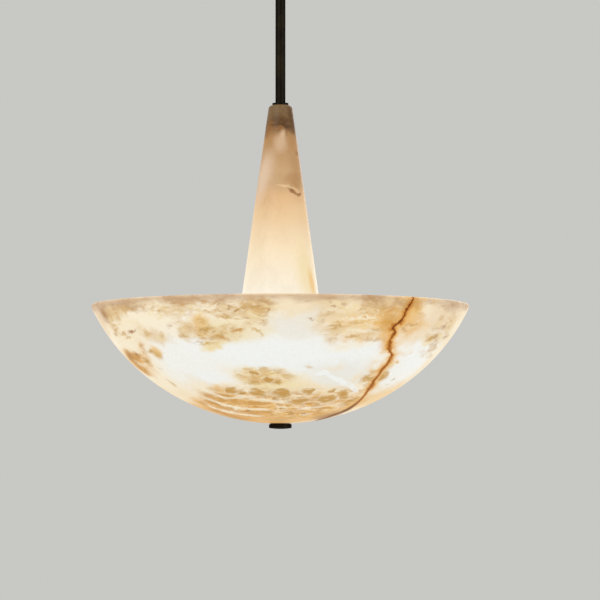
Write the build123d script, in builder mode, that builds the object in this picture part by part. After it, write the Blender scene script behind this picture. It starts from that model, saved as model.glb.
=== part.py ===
# A bowl pendant light: a shallow alabaster bowl and a hollow alabaster cone, threaded like beads on
# one long hollow rod that hangs from a ball swivel in a ceiling canopy. The origin is on the ceiling,
# over the middle of the lamp, and +Z points up, so every piece lies below z = 0. Lengths are in mm.
from build123d import *
import os
from math import cos, radians, sin, sqrt

os.makedirs("parts", exist_ok=True)

# ---------------------------------------------------------------------------------------------
# Driving dimensions
# ---------------------------------------------------------------------------------------------

# Bowl: the bottom of a slightly flattened ball, turned from one block
BOWL_DIAMETER = 452.6
BOWL_DEPTH = 141.2
BOWL_BALL_HALF_HEIGHT = 235.8
BOWL_WALL = 9.0
BOWL_LIP_RADIUS = 2.5

# Cone: a hollow taper that stands in the bowl and passes up through its mouth
CONE_TOP_DIAMETER = 27.4
CONE_BASE_DIAMETER = 102.4
CONE_ABOVE_RIM = 239.0
CONE_BELOW_RIM = 26.0
CONE_WALL = 9.0
CONE_CROWN = 12.0
CONE_TOP_RADIUS = 4.5
CONE_FOOT_CHAMFER = 1.0

# Rod: an M10 x 1 hollow threaded pipe inside a plain stem tube
PIPE_RADIUS = 4.95
PIPE_BORE_RADIUS = 3.8
WIRE_PORT_RADIUS = 2.5
WIRE_PASSAGE_OFFSET = 0.8
STEM_RADIUS = 6.0
STEM_WALL = 0.9
STEM_LENGTH = 300.0
SPACER_RADIUS = 7.0
SPACER_WALL = 1.9
CONE_SPACER_LENGTH = 12.0
NUT_ACROSS_FLATS = 14.0
NUT_THICKNESS = 4.0
NUT_CHAMFER = 0.5
PIPE_ABOVE_NUT = 1.5

# Cap on the cone
CAP_DIAMETER = 19.4
CAP_THICKNESS = 2.1
CAP_EDGE_RADIUS = 0.4
CAP_WASHER_MARGIN = 1.0
CAP_WASHER_THICKNESS = 0.5

# Support under the cone: a disc with windows that let light up into the cone
SUPPORT_THICKNESS = 2.5
SUPPORT_EDGE_MARGIN = 0.8
SUPPORT_LIP_HEIGHT = 3.0
SUPPORT_LIP_WIDTH = 2.0
SUPPORT_HUB_RADIUS = 13.0
SUPPORT_RIM_WIDTH = 4.0
SUPPORT_WINDOWS = 4
SUPPORT_ARM_WIDTH = 8.0
CONE_GASKET_THICKNESS = 1.0
CONE_GASKET_MARGIN = 1.0

# Lamp cluster: a drum with one lamp holder on each side
LAMP_COUNT = 4
CLUSTER_RADIUS = 30.0
CLUSTER_HEIGHT = 26.0
CLUSTER_WALL = 2.0
CLUSTER_EDGE_RADIUS = 1.5
CLUSTER_COVER_ROUNDING = 1.0
CLUSTER_LIP_HEIGHT = 3.0
CLUSTER_POST_RADIUS = 3.5
COVER_SCREWS = 2
COVER_SCREW_CIRCLE = 19.0
COVER_SCREW_RADIUS = 1.5
COVER_SCREW_LENGTH = 9.0
COVER_SCREW_HEAD_RADIUS = 3.0
COVER_SCREW_HEAD_HEIGHT = 2.0
NIPPLE_LENGTH = 15.0
NIPPLE_NUT_THICKNESS = 2.5
NIPPLE_INSIDE = 6.0

# Lamp holders and lamps, size E14
HOLDER_NECK_RADIUS = 10.5
HOLDER_NECK_LENGTH = 9.0
HOLDER_BODY_RADIUS = 13.0
HOLDER_BODY_LENGTH = 25.0
HOLDER_FLANGE_RADIUS = 15.0
HOLDER_FLANGE_WIDTH = 4.0
HOLDER_EDGE_RADIUS = 1.0
HOLDER_SHELL_WALL = 0.6
CONTACT_LENGTH = 9.0
CONTACT_WIDTH = 4.0
CONTACT_THICKNESS = 0.6
LAMP_CAP_RADIUS = 6.9
LAMP_CAP_LENGTH = 15.0
LAMP_CAP_TIP_RADIUS = 3.0
LAMP_CAP_TIP_LENGTH = 4.0
LAMP_COLLAR_FOOT_RADIUS = 8.5
LAMP_COLLAR_RADIUS = 13.0
LAMP_COLLAR_LENGTH = 14.0
LAMP_GLOBE_RADIUS = 22.5
LAMP_GLOBE_WALL = 1.0

# Clamp at the bottom of the bowl
BOWL_PLATE_RADIUS = 25.0
BOWL_PLATE_THICKNESS = 3.0
BOWL_PLATE_EDGE_RADIUS = 0.8
INNER_GASKET_THICKNESS = 1.5
OUTER_GASKET_THICKNESS = 0.8
OUTER_GASKET_MARGIN = 1.5
FINIAL_RADIUS = 13.5
FINIAL_BAND = 4.4
FINIAL_DOME = 1.2
FINIAL_NECK_RADIUS = 7.5
FINIAL_NECK_LENGTH = 8.0
FINIAL_THREAD_DEPTH = 11.0
FINIAL_EDGE_RADIUS = 0.4

# Canopy and ball swivel
CANOPY_RADIUS = 62.5
CANOPY_HEIGHT = 32.0
CANOPY_WALL = 1.5
CANOPY_EDGE_RADIUS = 4.0
CANOPY_OPENING_RADIUS = 12.5
BALL_RADIUS = 14.0
BALL_TOP_HEIGHT = 8.0
SEAT_MOUTH_RADIUS = 10.5
RING_RADIUS = 18.0
RING_HEIGHT = 7.0
RING_CHAMFER = 0.8
RING_TAB_REACH = 4.0
RING_TAB_WIDTH = 5.0
RING_TAB_HEIGHT = 4.0
STOP_PIN_RADIUS = 2.0
STOP_PIN_HEIGHT = 6.0
STOP_PIN_CHAMFER = 0.5

# Crossbar, which the ceiling screws hold
CROSSBAR_WIDTH = 24.0
CROSSBAR_THICKNESS = 2.0
CROSSBAR_BEND_RADIUS = 1.0
CEILING_SCREW_SPACING = 76.0
CEILING_SLOT_WIDTH = 4.5
CEILING_SLOT_LENGTH = 20.0
EAR_LENGTH = 19.0
CANOPY_SCREW_DROP = 13.0
EARTH_SCREW_OFFSET = 18.0

# Screws
M4_RADIUS = 2.0
M4_HEAD_RADIUS = 3.5
M4_HEAD_HEIGHT = 2.4
CANOPY_SCREW_LENGTH = 8.0
SCREW_HEAD_ROUNDING = 0.5
SCREW_SLOT_WIDTH = 0.8
SCREW_SLOT_DEPTH = 0.8

# Terminal block
TERMINAL_POLES = 3
TERMINAL_PITCH = 10.0
TERMINAL_DEPTH = 18.0
TERMINAL_HEIGHT = 14.0
TERMINAL_BASE_HEIGHT = 6.0
TERMINAL_SEAT_HEIGHT = 2.0
TERMINAL_BARREL_WIDTH = 7.5
TERMINAL_WIRE_RADIUS = 1.8
CLAMP_SCREW_RADIUS = 1.5
CLAMP_SCREW_SPACING = 10.0
CLAMP_SCREW_LENGTH = 3.5
CLAMP_SCREW_SUNK = 1.0
TERMINAL_CENTRE_Y = 37.0
TERMINAL_EDGE_RADIUS = 0.6
FIXING_SCREW_RADIUS = 1.4
FIXING_HEAD_RADIUS = 1.9
FIXING_HEAD_HEIGHT = 1.6

# Clearances
THREAD_GAP = 0.05
SLIDING_GAP = 0.1
TURNING_GAP = 0.4
BORE_GAP = 0.5

# ---------------------------------------------------------------------------------------------
# Levels down the rod, from the ceiling to the finial
# ---------------------------------------------------------------------------------------------

canopy_floor_z = -(CANOPY_HEIGHT - CANOPY_WALL)
seat_radius = BALL_RADIUS + SLIDING_GAP
pivot_z = canopy_floor_z + sqrt(seat_radius**2 - SEAT_MOUTH_RADIUS**2)
ball_top_z = pivot_z + BALL_TOP_HEIGHT
stem_top_z = pivot_z - sqrt(BALL_RADIUS**2 - STEM_RADIUS**2)
pipe_top_z = ball_top_z + NUT_THICKNESS + PIPE_ABOVE_NUT
stem_bottom_z = stem_top_z - STEM_LENGTH
cap_bottom_z = stem_bottom_z - CAP_THICKNESS
cone_top_z = cap_bottom_z - CAP_WASHER_THICKNESS
rim_z = cone_top_z - CONE_ABOVE_RIM
cone_base_z = rim_z - CONE_BELOW_RIM
support_top_z = cone_base_z - CONE_GASKET_THICKNESS
support_bottom_z = support_top_z - SUPPORT_THICKNESS
cluster_top_z = support_bottom_z - CONE_SPACER_LENGTH
cluster_bottom_z = cluster_top_z - CLUSTER_HEIGHT
lamp_z = (cluster_top_z - CLUSTER_WALL + cluster_bottom_z) / 2
lower_nut_bottom_z = cluster_bottom_z - NUT_THICKNESS
bowl_bottom_z = rim_z - BOWL_DEPTH
finial_top_z = bowl_bottom_z - OUTER_GASKET_THICKNESS
finial_neck_z = finial_top_z + FINIAL_NECK_LENGTH
finial_bottom_z = finial_top_z - FINIAL_BAND
finial_bore_z = finial_neck_z - FINIAL_THREAD_DEPTH
pipe_bottom_z = finial_bore_z + BORE_GAP

# Bowl: the flattened ball that it is the bottom of, outside and inside
ball_centre_z = bowl_bottom_z + BOWL_BALL_HALF_HEIGHT
rim_height_share = (rim_z - ball_centre_z) / BOWL_BALL_HALF_HEIGHT
ball_half_width = BOWL_DIAMETER / 2 / sqrt(1 - rim_height_share**2)
hollow_half_width = ball_half_width - BOWL_WALL
hollow_half_height = BOWL_BALL_HALF_HEIGHT - BOWL_WALL
bowl_hole_radius = FINIAL_NECK_RADIUS + TURNING_GAP
plate_edge_share = BOWL_PLATE_RADIUS / hollow_half_width
floor_under_plate_edge_z = ball_centre_z - hollow_half_height * sqrt(1 - plate_edge_share**2)
bowl_plate_bottom_z = floor_under_plate_edge_z + INNER_GASKET_THICKNESS
bowl_plate_top_z = bowl_plate_bottom_z + BOWL_PLATE_THICKNESS

# Cone: the walls are parallel, so the bore has the taper of the outside
cone_height = CONE_ABOVE_RIM + CONE_BELOW_RIM
cone_taper = (CONE_BASE_DIAMETER - CONE_TOP_DIAMETER) / 2 / cone_height
cone_wall_across = CONE_WALL * sqrt(1 + cone_taper**2)
cone_bore_base_radius = CONE_BASE_DIAMETER / 2 - cone_wall_across
cone_bore_top_radius = cone_bore_base_radius - cone_taper * (cone_height - CONE_CROWN)

pipe_hole_radius = PIPE_RADIUS + THREAD_GAP
pipe_slide_radius = PIPE_RADIUS + BORE_GAP


# ---------------------------------------------------------------------------------------------
# Shapes that several pieces share
# ---------------------------------------------------------------------------------------------


def save(part, name):
    """Names a finished piece and writes it to its own file."""
    part.label = name
    export_step(part, f"parts/{name}.step")


def tube(outer_radius, inner_radius, bottom_z, top_z):
    """A plain round tube or washer about the rod's axis."""
    with BuildPart() as piece:
        with BuildSketch(Plane.XY.offset(bottom_z)):
            Circle(outer_radius)
            Circle(inner_radius, mode=Mode.SUBTRACT)
        extrude(amount=top_z - bottom_z)
    return piece.part


def hex_nut(plane, thickness):
    """A hexagon nut for the M10 pipe, standing on a plane, with its corners taken off."""
    with BuildPart() as nut:
        with BuildSketch(plane):
            RegularPolygon(NUT_ACROSS_FLATS / 2, 6, major_radius=False)
        extrude(amount=thickness)
        chamfer(nut.faces().sort_by(Axis(plane.origin, plane.z_dir))[-1].edges(), NUT_CHAMFER)
        with BuildSketch(plane):
            Circle(pipe_hole_radius)
        extrude(amount=thickness, mode=Mode.SUBTRACT)
    return nut.part


def slotted_screw(plane, shank_radius, shank_length, head_radius, head_height):
    """A screw whose head stands on a plane and whose shank goes down through it."""
    with BuildPart() as screw:
        with BuildSketch(plane):
            Circle(head_radius)
        extrude(amount=head_height)
        head_top = screw.faces().sort_by(Axis(plane.origin, plane.z_dir))[-1]
        fillet(head_top.edges(), SCREW_HEAD_ROUNDING)
        with BuildSketch(plane.offset(head_height)):
            Rectangle(2 * head_radius, SCREW_SLOT_WIDTH)
        extrude(amount=-SCREW_SLOT_DEPTH, mode=Mode.SUBTRACT)
        with BuildSketch(plane):
            Circle(shank_radius)
        extrude(amount=-shank_length)
    return screw.part


def lamp_angles():
    """The directions of the lamps round the rod, in degrees."""
    return [360 / LAMP_COUNT * i for i in range(LAMP_COUNT)]


def lamp_plane(angle, distance):
    """A plane square to one lamp's axis, at a distance from the rod, facing outwards."""
    direction = (cos(radians(angle)), sin(radians(angle)), 0)
    origin = (distance * direction[0], distance * direction[1], lamp_z)
    return Plane(origin=origin, x_dir=(0, 0, 1), z_dir=direction)


# ---------------------------------------------------------------------------------------------
# Ceiling: crossbar, canopy and what they hold
# ---------------------------------------------------------------------------------------------

ear_corner_radius = CANOPY_RADIUS - CANOPY_WALL - TURNING_GAP
ear_face_x = sqrt(ear_corner_radius**2 - (CROSSBAR_WIDTH / 2) ** 2)

# Crossbar: a steel strap, both ends bent down into ears that the canopy is screwed to
with BuildPart() as crossbar:
    with BuildSketch(Plane.XZ) as strap:
        with BuildLine():
            outline = FilletPolyline(
                (-ear_face_x, -EAR_LENGTH),
                (-ear_face_x, 0),
                (ear_face_x, 0),
                (ear_face_x, -EAR_LENGTH),
                radius=CROSSBAR_BEND_RADIUS + CROSSBAR_THICKNESS,
            )
            offset(outline, amount=CROSSBAR_THICKNESS, side=Side.RIGHT, closed=True)
        make_face()
    extrude(amount=CROSSBAR_WIDTH / 2, both=True)
    with BuildSketch(Plane.XY):
        with GridLocations(CEILING_SCREW_SPACING, 0, 2, 1):
            SlotOverall(CEILING_SLOT_LENGTH, CEILING_SLOT_WIDTH)
        with Locations((-EARTH_SCREW_OFFSET, 0)):
            Circle(M4_RADIUS + THREAD_GAP)
    extrude(amount=-CROSSBAR_THICKNESS, mode=Mode.SUBTRACT)
    with BuildSketch(Plane.YZ):
        with Locations((0, -CANOPY_SCREW_DROP)):
            Circle(M4_RADIUS + THREAD_GAP)
    extrude(amount=CANOPY_RADIUS, both=True, mode=Mode.SUBTRACT)
save(crossbar.part, "crossbar")

# Earth screw, up into the crossbar from below
earth_plane = Plane(origin=(-EARTH_SCREW_OFFSET, 0, -CROSSBAR_THICKNESS), z_dir=(0, 0, -1))
earth_screw = slotted_screw(
    earth_plane, M4_RADIUS, CROSSBAR_THICKNESS, M4_HEAD_RADIUS, M4_HEAD_HEIGHT
)
save(earth_screw, "earth_screw")

# Canopy: a spun steel cup, open at the ceiling, with the swivel's opening in its floor
terminal_plane = Plane(origin=(0, TERMINAL_CENTRE_Y, canopy_floor_z))
stop_pin_x = -(RING_RADIUS + TURNING_GAP + STOP_PIN_RADIUS)
with BuildPart() as canopy:
    with BuildSketch(Plane.XY.offset(-CANOPY_HEIGHT)):
        Circle(CANOPY_RADIUS)
    extrude(amount=CANOPY_HEIGHT)
    fillet(canopy.faces().sort_by(Axis.Z)[0].edges(), CANOPY_EDGE_RADIUS)
    offset(amount=-CANOPY_WALL, openings=canopy.faces().sort_by(Axis.Z)[-1])
    with BuildSketch(Plane.XY.offset(canopy_floor_z)):
        Circle(CANOPY_OPENING_RADIUS)
        with Locations((0, TERMINAL_CENTRE_Y)):
            Circle(FIXING_SCREW_RADIUS + THREAD_GAP)
        with Locations((stop_pin_x, 0)):
            Circle(STOP_PIN_RADIUS)
    extrude(amount=-CANOPY_WALL, mode=Mode.SUBTRACT)
    with BuildSketch(Plane.YZ):
        with Locations((0, -CANOPY_SCREW_DROP)):
            Circle(M4_RADIUS + SLIDING_GAP)
    extrude(amount=CANOPY_RADIUS, both=True, mode=Mode.SUBTRACT)
save(canopy.part, "canopy")

# Canopy screws, one each side, through the canopy's wall into the crossbar's ears
with BuildPart() as canopy_screws:
    for side in (-1, 1):
        screw_plane = Plane(
            origin=(side * CANOPY_RADIUS, 0, -CANOPY_SCREW_DROP), z_dir=(side, 0, 0)
        )
        add(
            slotted_screw(
                screw_plane, M4_RADIUS, CANOPY_SCREW_LENGTH, M4_HEAD_RADIUS, M4_HEAD_HEIGHT
            )
        )
save(canopy_screws.part, "canopy_screws")

# Stop pin: pressed into the canopy's floor, where the swivel ring's tab runs into it
with BuildPart() as stop_pin:
    with BuildSketch(Plane.XY.offset(-CANOPY_HEIGHT)):
        with Locations((stop_pin_x, 0)):
            Circle(STOP_PIN_RADIUS)
    extrude(amount=CANOPY_WALL + STOP_PIN_HEIGHT)
    chamfer(stop_pin.faces().sort_by(Axis.Z)[-1].edges(), STOP_PIN_CHAMFER)
save(stop_pin.part, "stop_pin")

# Terminal block: a base with one barrel for each pole, wires along Y, clamping screws from above
with BuildPart() as terminal_block:
    with BuildSketch(terminal_plane):
        Rectangle(TERMINAL_POLES * TERMINAL_PITCH, TERMINAL_DEPTH)
    extrude(amount=TERMINAL_BASE_HEIGHT)
    with BuildSketch(terminal_plane.offset(TERMINAL_BASE_HEIGHT)):
        with GridLocations(TERMINAL_PITCH, 0, TERMINAL_POLES, 1):
            RectangleRounded(TERMINAL_BARREL_WIDTH, TERMINAL_DEPTH, TERMINAL_EDGE_RADIUS)
    extrude(amount=TERMINAL_HEIGHT - TERMINAL_BASE_HEIGHT)
    fillet(terminal_block.faces().group_by(Axis.Z)[-1].edges(), TERMINAL_EDGE_RADIUS)
    with BuildSketch(Plane.XZ.offset(-TERMINAL_CENTRE_Y)):
        with Locations((0, canopy_floor_z + TERMINAL_BASE_HEIGHT)):
            with GridLocations(TERMINAL_PITCH, 0, TERMINAL_POLES, 1):
                Circle(TERMINAL_WIRE_RADIUS)
    extrude(amount=TERMINAL_DEPTH / 2, both=True, mode=Mode.SUBTRACT)
    with BuildSketch(terminal_plane.offset(TERMINAL_HEIGHT)):
        with GridLocations(TERMINAL_PITCH, CLAMP_SCREW_SPACING, TERMINAL_POLES, 2):
            Circle(CLAMP_SCREW_RADIUS)
    extrude(amount=TERMINAL_BASE_HEIGHT - TERMINAL_HEIGHT, mode=Mode.SUBTRACT)
    with Locations(terminal_plane.offset(TERMINAL_HEIGHT)):
        CounterBoreHole(
            FIXING_SCREW_RADIUS + SLIDING_GAP,
            FIXING_HEAD_RADIUS + SLIDING_GAP,
            TERMINAL_HEIGHT - TERMINAL_SEAT_HEIGHT,
            TERMINAL_HEIGHT,
        )
save(terminal_block.part, "terminal_block")

# Clamping screws of the terminal block: slotted grub screws, two in each barrel
clamp_screw_top = terminal_plane.offset(TERMINAL_HEIGHT - CLAMP_SCREW_SUNK)
with BuildPart() as clamp_screws:
    with BuildSketch(clamp_screw_top):
        with GridLocations(TERMINAL_PITCH, CLAMP_SCREW_SPACING, TERMINAL_POLES, 2):
            Circle(CLAMP_SCREW_RADIUS)
    extrude(amount=-CLAMP_SCREW_LENGTH)
    with BuildSketch(clamp_screw_top):
        with GridLocations(TERMINAL_PITCH, CLAMP_SCREW_SPACING, TERMINAL_POLES, 2):
            Rectangle(2 * CLAMP_SCREW_RADIUS, SCREW_SLOT_WIDTH)
    extrude(amount=-SCREW_SLOT_DEPTH, mode=Mode.SUBTRACT)
save(clamp_screws.part, "terminal_clamp_screws")

# Fixing screw of the terminal block, sunk in its middle and tapped into the canopy's floor
fixing_screw = slotted_screw(
    terminal_plane.offset(TERMINAL_SEAT_HEIGHT),
    FIXING_SCREW_RADIUS,
    TERMINAL_SEAT_HEIGHT + CANOPY_WALL,
    FIXING_HEAD_RADIUS,
    FIXING_HEAD_HEIGHT,
)
save(fixing_screw, "terminal_fixing_screw")

# ---------------------------------------------------------------------------------------------
# Swivel: a ring that turns on the canopy's floor, and a ball that tilts in it
# ---------------------------------------------------------------------------------------------

# Ring: its bore is the ball's seat, and its tab meets the stop pin after most of a turn each way
with BuildPart() as swivel_ring:
    with BuildSketch(Plane.XY.offset(canopy_floor_z)):
        Circle(RING_RADIUS)
    extrude(amount=RING_HEIGHT)
    chamfer(swivel_ring.faces().sort_by(Axis.Z)[-1].edges(), RING_CHAMFER)
    with BuildSketch(Plane.XY.offset(canopy_floor_z)):
        with Locations(((RING_RADIUS + RING_TAB_REACH) / 2, 0)):
            Rectangle(RING_RADIUS + RING_TAB_REACH, RING_TAB_WIDTH)
    extrude(amount=RING_TAB_HEIGHT)
    with Locations((0, 0, pivot_z)):
        Sphere(seat_radius, mode=Mode.SUBTRACT)
    with BuildSketch(Plane.XY.offset(canopy_floor_z)):
        Circle(SEAT_MOUTH_RADIUS)
    extrude(amount=RING_HEIGHT, mode=Mode.SUBTRACT)
save(swivel_ring.part, "swivel_ring")

# Ball: cut flat on top for the nut and below for the stem, and bored for the pipe
with BuildPart() as swivel_ball:
    with Locations((0, 0, pivot_z)):
        Sphere(BALL_RADIUS)
    split(bisect_by=Plane.XY.offset(ball_top_z), keep=Keep.BOTTOM)
    split(bisect_by=Plane.XY.offset(stem_top_z), keep=Keep.TOP)
    with BuildSketch(Plane.XY.offset(stem_top_z)):
        Circle(pipe_hole_radius)
    extrude(amount=ball_top_z - stem_top_z, mode=Mode.SUBTRACT)
save(swivel_ball.part, "swivel_ball")

save(hex_nut(Plane.XY.offset(ball_top_z), NUT_THICKNESS), "swivel_nut")

# ---------------------------------------------------------------------------------------------
# Rod: threaded pipe, stem, cap and spacers
# ---------------------------------------------------------------------------------------------

# Pipe: carries every piece below the ball, and has a port that lets the wires out at the lamps
with BuildPart() as threaded_pipe:
    with BuildSketch(Plane.XY.offset(pipe_bottom_z)):
        Circle(PIPE_RADIUS)
        Circle(PIPE_BORE_RADIUS, mode=Mode.SUBTRACT)
    extrude(amount=pipe_top_z - pipe_bottom_z)
    with BuildSketch(lamp_plane(lamp_angles()[0], 0)):
        Circle(WIRE_PORT_RADIUS)
    extrude(amount=PIPE_RADIUS, mode=Mode.SUBTRACT)
save(threaded_pipe.part, "threaded_pipe")

save(tube(STEM_RADIUS, STEM_RADIUS - STEM_WALL, stem_bottom_z, stem_top_z), "stem_tube")

# Cap: the thin flange that presses on the cone
with BuildPart() as cone_cap:
    with BuildSketch(Plane.XY.offset(cap_bottom_z)):
        Circle(CAP_DIAMETER / 2)
        Circle(pipe_hole_radius, mode=Mode.SUBTRACT)
    extrude(amount=CAP_THICKNESS)
    fillet(cone_cap.faces().sort_by(Axis.Z)[-1].edges().sort_by(SortBy.RADIUS)[-1], CAP_EDGE_RADIUS)
save(cone_cap.part, "cone_cap")

cap_washer_radius = CAP_DIAMETER / 2 - CAP_WASHER_MARGIN
save(tube(cap_washer_radius, pipe_slide_radius, cone_top_z, cap_bottom_z), "cap_washer")
spacer_bore_radius = SPACER_RADIUS - SPACER_WALL
save(tube(SPACER_RADIUS, spacer_bore_radius, cluster_top_z, support_bottom_z), "cone_spacer")
save(hex_nut(Plane.XY.offset(lower_nut_bottom_z), NUT_THICKNESS), "cluster_nut")
save(tube(SPACER_RADIUS, spacer_bore_radius, bowl_plate_top_z, lower_nut_bottom_z), "bowl_spacer")

# ---------------------------------------------------------------------------------------------
# Cone and its support
# ---------------------------------------------------------------------------------------------

# Cone: parallel walls below a solid crown, which is drilled for the pipe
with BuildPart() as alabaster_cone:
    with BuildSketch(Plane.XZ) as cone_section:
        with BuildLine():
            Polyline(
                (pipe_slide_radius, cone_top_z),
                (CONE_TOP_DIAMETER / 2, cone_top_z),
                (CONE_BASE_DIAMETER / 2, cone_base_z),
                (cone_bore_base_radius, cone_base_z),
                (cone_bore_top_radius, cone_top_z - CONE_CROWN),
                (pipe_slide_radius, cone_top_z - CONE_CROWN),
                close=True,
            )
        make_face()
        fillet(cone_section.vertices().group_by(Axis.Y)[-1].sort_by(Axis.X)[-1], CONE_TOP_RADIUS)
        chamfer(cone_section.vertices().group_by(Axis.Y)[0], CONE_FOOT_CHAMFER)
    revolve(axis=Axis.Z)
save(alabaster_cone.part, "alabaster_cone")

support_radius = CONE_BASE_DIAMETER / 2 - SUPPORT_EDGE_MARGIN
lip_radius = cone_bore_base_radius - cone_taper * SUPPORT_LIP_HEIGHT - BORE_GAP
window_outer_radius = lip_radius - SUPPORT_RIM_WIDTH
gasket_inner_radius = cone_bore_base_radius + CONE_GASKET_MARGIN
gasket_outer_radius = CONE_BASE_DIAMETER / 2 - CONE_FOOT_CHAMFER - CONE_GASKET_MARGIN
save(tube(gasket_outer_radius, gasket_inner_radius, support_top_z, cone_base_z), "cone_gasket")

# Support: a disc on the pipe with a lip that centres the cone
with BuildPart() as cone_support:
    with BuildSketch(Plane.XY.offset(support_bottom_z)):
        Circle(support_radius)
    extrude(amount=SUPPORT_THICKNESS)
    with BuildSketch(Plane.XY.offset(support_top_z)):
        Circle(lip_radius)
        Circle(lip_radius - SUPPORT_LIP_WIDTH, mode=Mode.SUBTRACT)
    extrude(amount=SUPPORT_LIP_HEIGHT)
    with BuildSketch(Plane.XY.offset(support_bottom_z)):
        Circle(window_outer_radius)
        Circle(SUPPORT_HUB_RADIUS, mode=Mode.SUBTRACT)
        with PolarLocations(0, SUPPORT_WINDOWS):
            with Locations((window_outer_radius / 2, 0)):
                Rectangle(window_outer_radius, SUPPORT_ARM_WIDTH, mode=Mode.SUBTRACT)
    extrude(amount=SUPPORT_THICKNESS, mode=Mode.SUBTRACT)
    with BuildSketch(Plane.XY.offset(support_bottom_z)):
        Circle(pipe_hole_radius)
    extrude(amount=SUPPORT_THICKNESS, mode=Mode.SUBTRACT)
save(cone_support.part, "cone_support")

# ---------------------------------------------------------------------------------------------
# Lamp cluster
# ---------------------------------------------------------------------------------------------

cover_bottom_z = cluster_top_z - CLUSTER_WALL
cluster_bore_radius = CLUSTER_RADIUS - CLUSTER_WALL
post_angle = 180 / LAMP_COUNT

# Drum: open on top, with a hole on each side for a lamp and two posts for the cover's screws
with BuildPart() as cluster_body:
    with BuildSketch(Plane.XY.offset(cluster_bottom_z)):
        Circle(CLUSTER_RADIUS)
    extrude(amount=cover_bottom_z - cluster_bottom_z)
    fillet(cluster_body.faces().sort_by(Axis.Z)[0].edges(), CLUSTER_EDGE_RADIUS)
    offset(amount=-CLUSTER_WALL, openings=cluster_body.faces().sort_by(Axis.Z)[-1])
    with BuildSketch(Plane.XY.offset(cluster_bottom_z)):
        with PolarLocations(COVER_SCREW_CIRCLE, COVER_SCREWS, post_angle):
            Circle(CLUSTER_POST_RADIUS)
    extrude(amount=cover_bottom_z - cluster_bottom_z)
    with BuildSketch(Plane.XY.offset(cover_bottom_z)):
        with PolarLocations(COVER_SCREW_CIRCLE, COVER_SCREWS, post_angle):
            Circle(COVER_SCREW_RADIUS)
    extrude(amount=CLUSTER_WALL - COVER_SCREW_LENGTH, mode=Mode.SUBTRACT)
    with BuildSketch(Plane.XY.offset(cluster_bottom_z)):
        Circle(pipe_hole_radius)
    extrude(amount=CLUSTER_WALL, mode=Mode.SUBTRACT)
    for angle in lamp_angles():
        with BuildSketch(lamp_plane(angle, cluster_bore_radius)):
            Circle(pipe_hole_radius)
        extrude(amount=CLUSTER_WALL, both=True, mode=Mode.SUBTRACT)
save(cluster_body.part, "cluster_body")

# Cover: a disc whose lip drops into the drum
with BuildPart() as cluster_cover:
    with BuildSketch(Plane.XY.offset(cover_bottom_z)):
        Circle(CLUSTER_RADIUS)
    extrude(amount=CLUSTER_WALL)
    fillet(cluster_cover.faces().sort_by(Axis.Z)[-1].edges(), CLUSTER_COVER_ROUNDING)
    with BuildSketch(Plane.XY.offset(cover_bottom_z)):
        Circle(cluster_bore_radius - SLIDING_GAP)
        Circle(cluster_bore_radius - SLIDING_GAP - CLUSTER_WALL, mode=Mode.SUBTRACT)
    extrude(amount=-CLUSTER_LIP_HEIGHT)
    with BuildSketch(Plane.XY.offset(cover_bottom_z)):
        Circle(pipe_hole_radius)
        with PolarLocations(COVER_SCREW_CIRCLE, COVER_SCREWS, post_angle):
            Circle(COVER_SCREW_RADIUS + SLIDING_GAP)
    extrude(amount=CLUSTER_WALL, mode=Mode.SUBTRACT)
save(cluster_cover.part, "cluster_cover")

with BuildPart() as cover_screws:
    for number in range(COVER_SCREWS):
        screw_angle = radians(post_angle + 360 / COVER_SCREWS * number)
        screw_origin = (
            COVER_SCREW_CIRCLE * cos(screw_angle),
            COVER_SCREW_CIRCLE * sin(screw_angle),
            cluster_top_z,
        )
        add(
            slotted_screw(
                Plane(origin=screw_origin),
                COVER_SCREW_RADIUS,
                COVER_SCREW_LENGTH,
                COVER_SCREW_HEAD_RADIUS,
                COVER_SCREW_HEAD_HEIGHT,
            )
        )
save(cover_screws.part, "cover_screws")

# Nipples: short hollow threads through the drum's wall, each locked inside by a thin nut
with BuildPart() as holder_nipples:
    for angle in lamp_angles():
        with BuildSketch(lamp_plane(angle, cluster_bore_radius - NIPPLE_INSIDE)):
            Circle(PIPE_RADIUS)
            Circle(PIPE_BORE_RADIUS, mode=Mode.SUBTRACT)
        extrude(amount=NIPPLE_LENGTH)
save(holder_nipples.part, "holder_nipples")

with BuildPart() as nipple_nuts:
    for angle in lamp_angles():
        nut_plane = lamp_plane(angle, cluster_bore_radius - NIPPLE_NUT_THICKNESS)
        flat_seat = cluster_bore_radius - sqrt(
            cluster_bore_radius**2 - (NUT_ACROSS_FLATS / sqrt(3)) ** 2
        )
        add(hex_nut(nut_plane.offset(-flat_seat), NIPPLE_NUT_THICKNESS))
save(nipple_nuts.part, "nipple_nuts")

# ---------------------------------------------------------------------------------------------
# Lamp holders and lamps, the same on every side
# ---------------------------------------------------------------------------------------------

holder_back = CLUSTER_RADIUS
holder_mouth = holder_back + HOLDER_NECK_LENGTH + HOLDER_BODY_LENGTH
shell_bore_radius = LAMP_CAP_RADIUS + SLIDING_GAP
shell_radius = shell_bore_radius + HOLDER_SHELL_WALL
lamp_tip = holder_mouth - LAMP_CAP_LENGTH - LAMP_CAP_TIP_LENGTH
holder_socket_back = lamp_tip - CONTACT_THICKNESS
nipple_end = cluster_bore_radius - NIPPLE_INSIDE + NIPPLE_LENGTH
globe_centre = (
    holder_mouth + LAMP_COLLAR_LENGTH + sqrt(LAMP_GLOBE_RADIUS**2 - LAMP_COLLAR_RADIUS**2)
)


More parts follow.
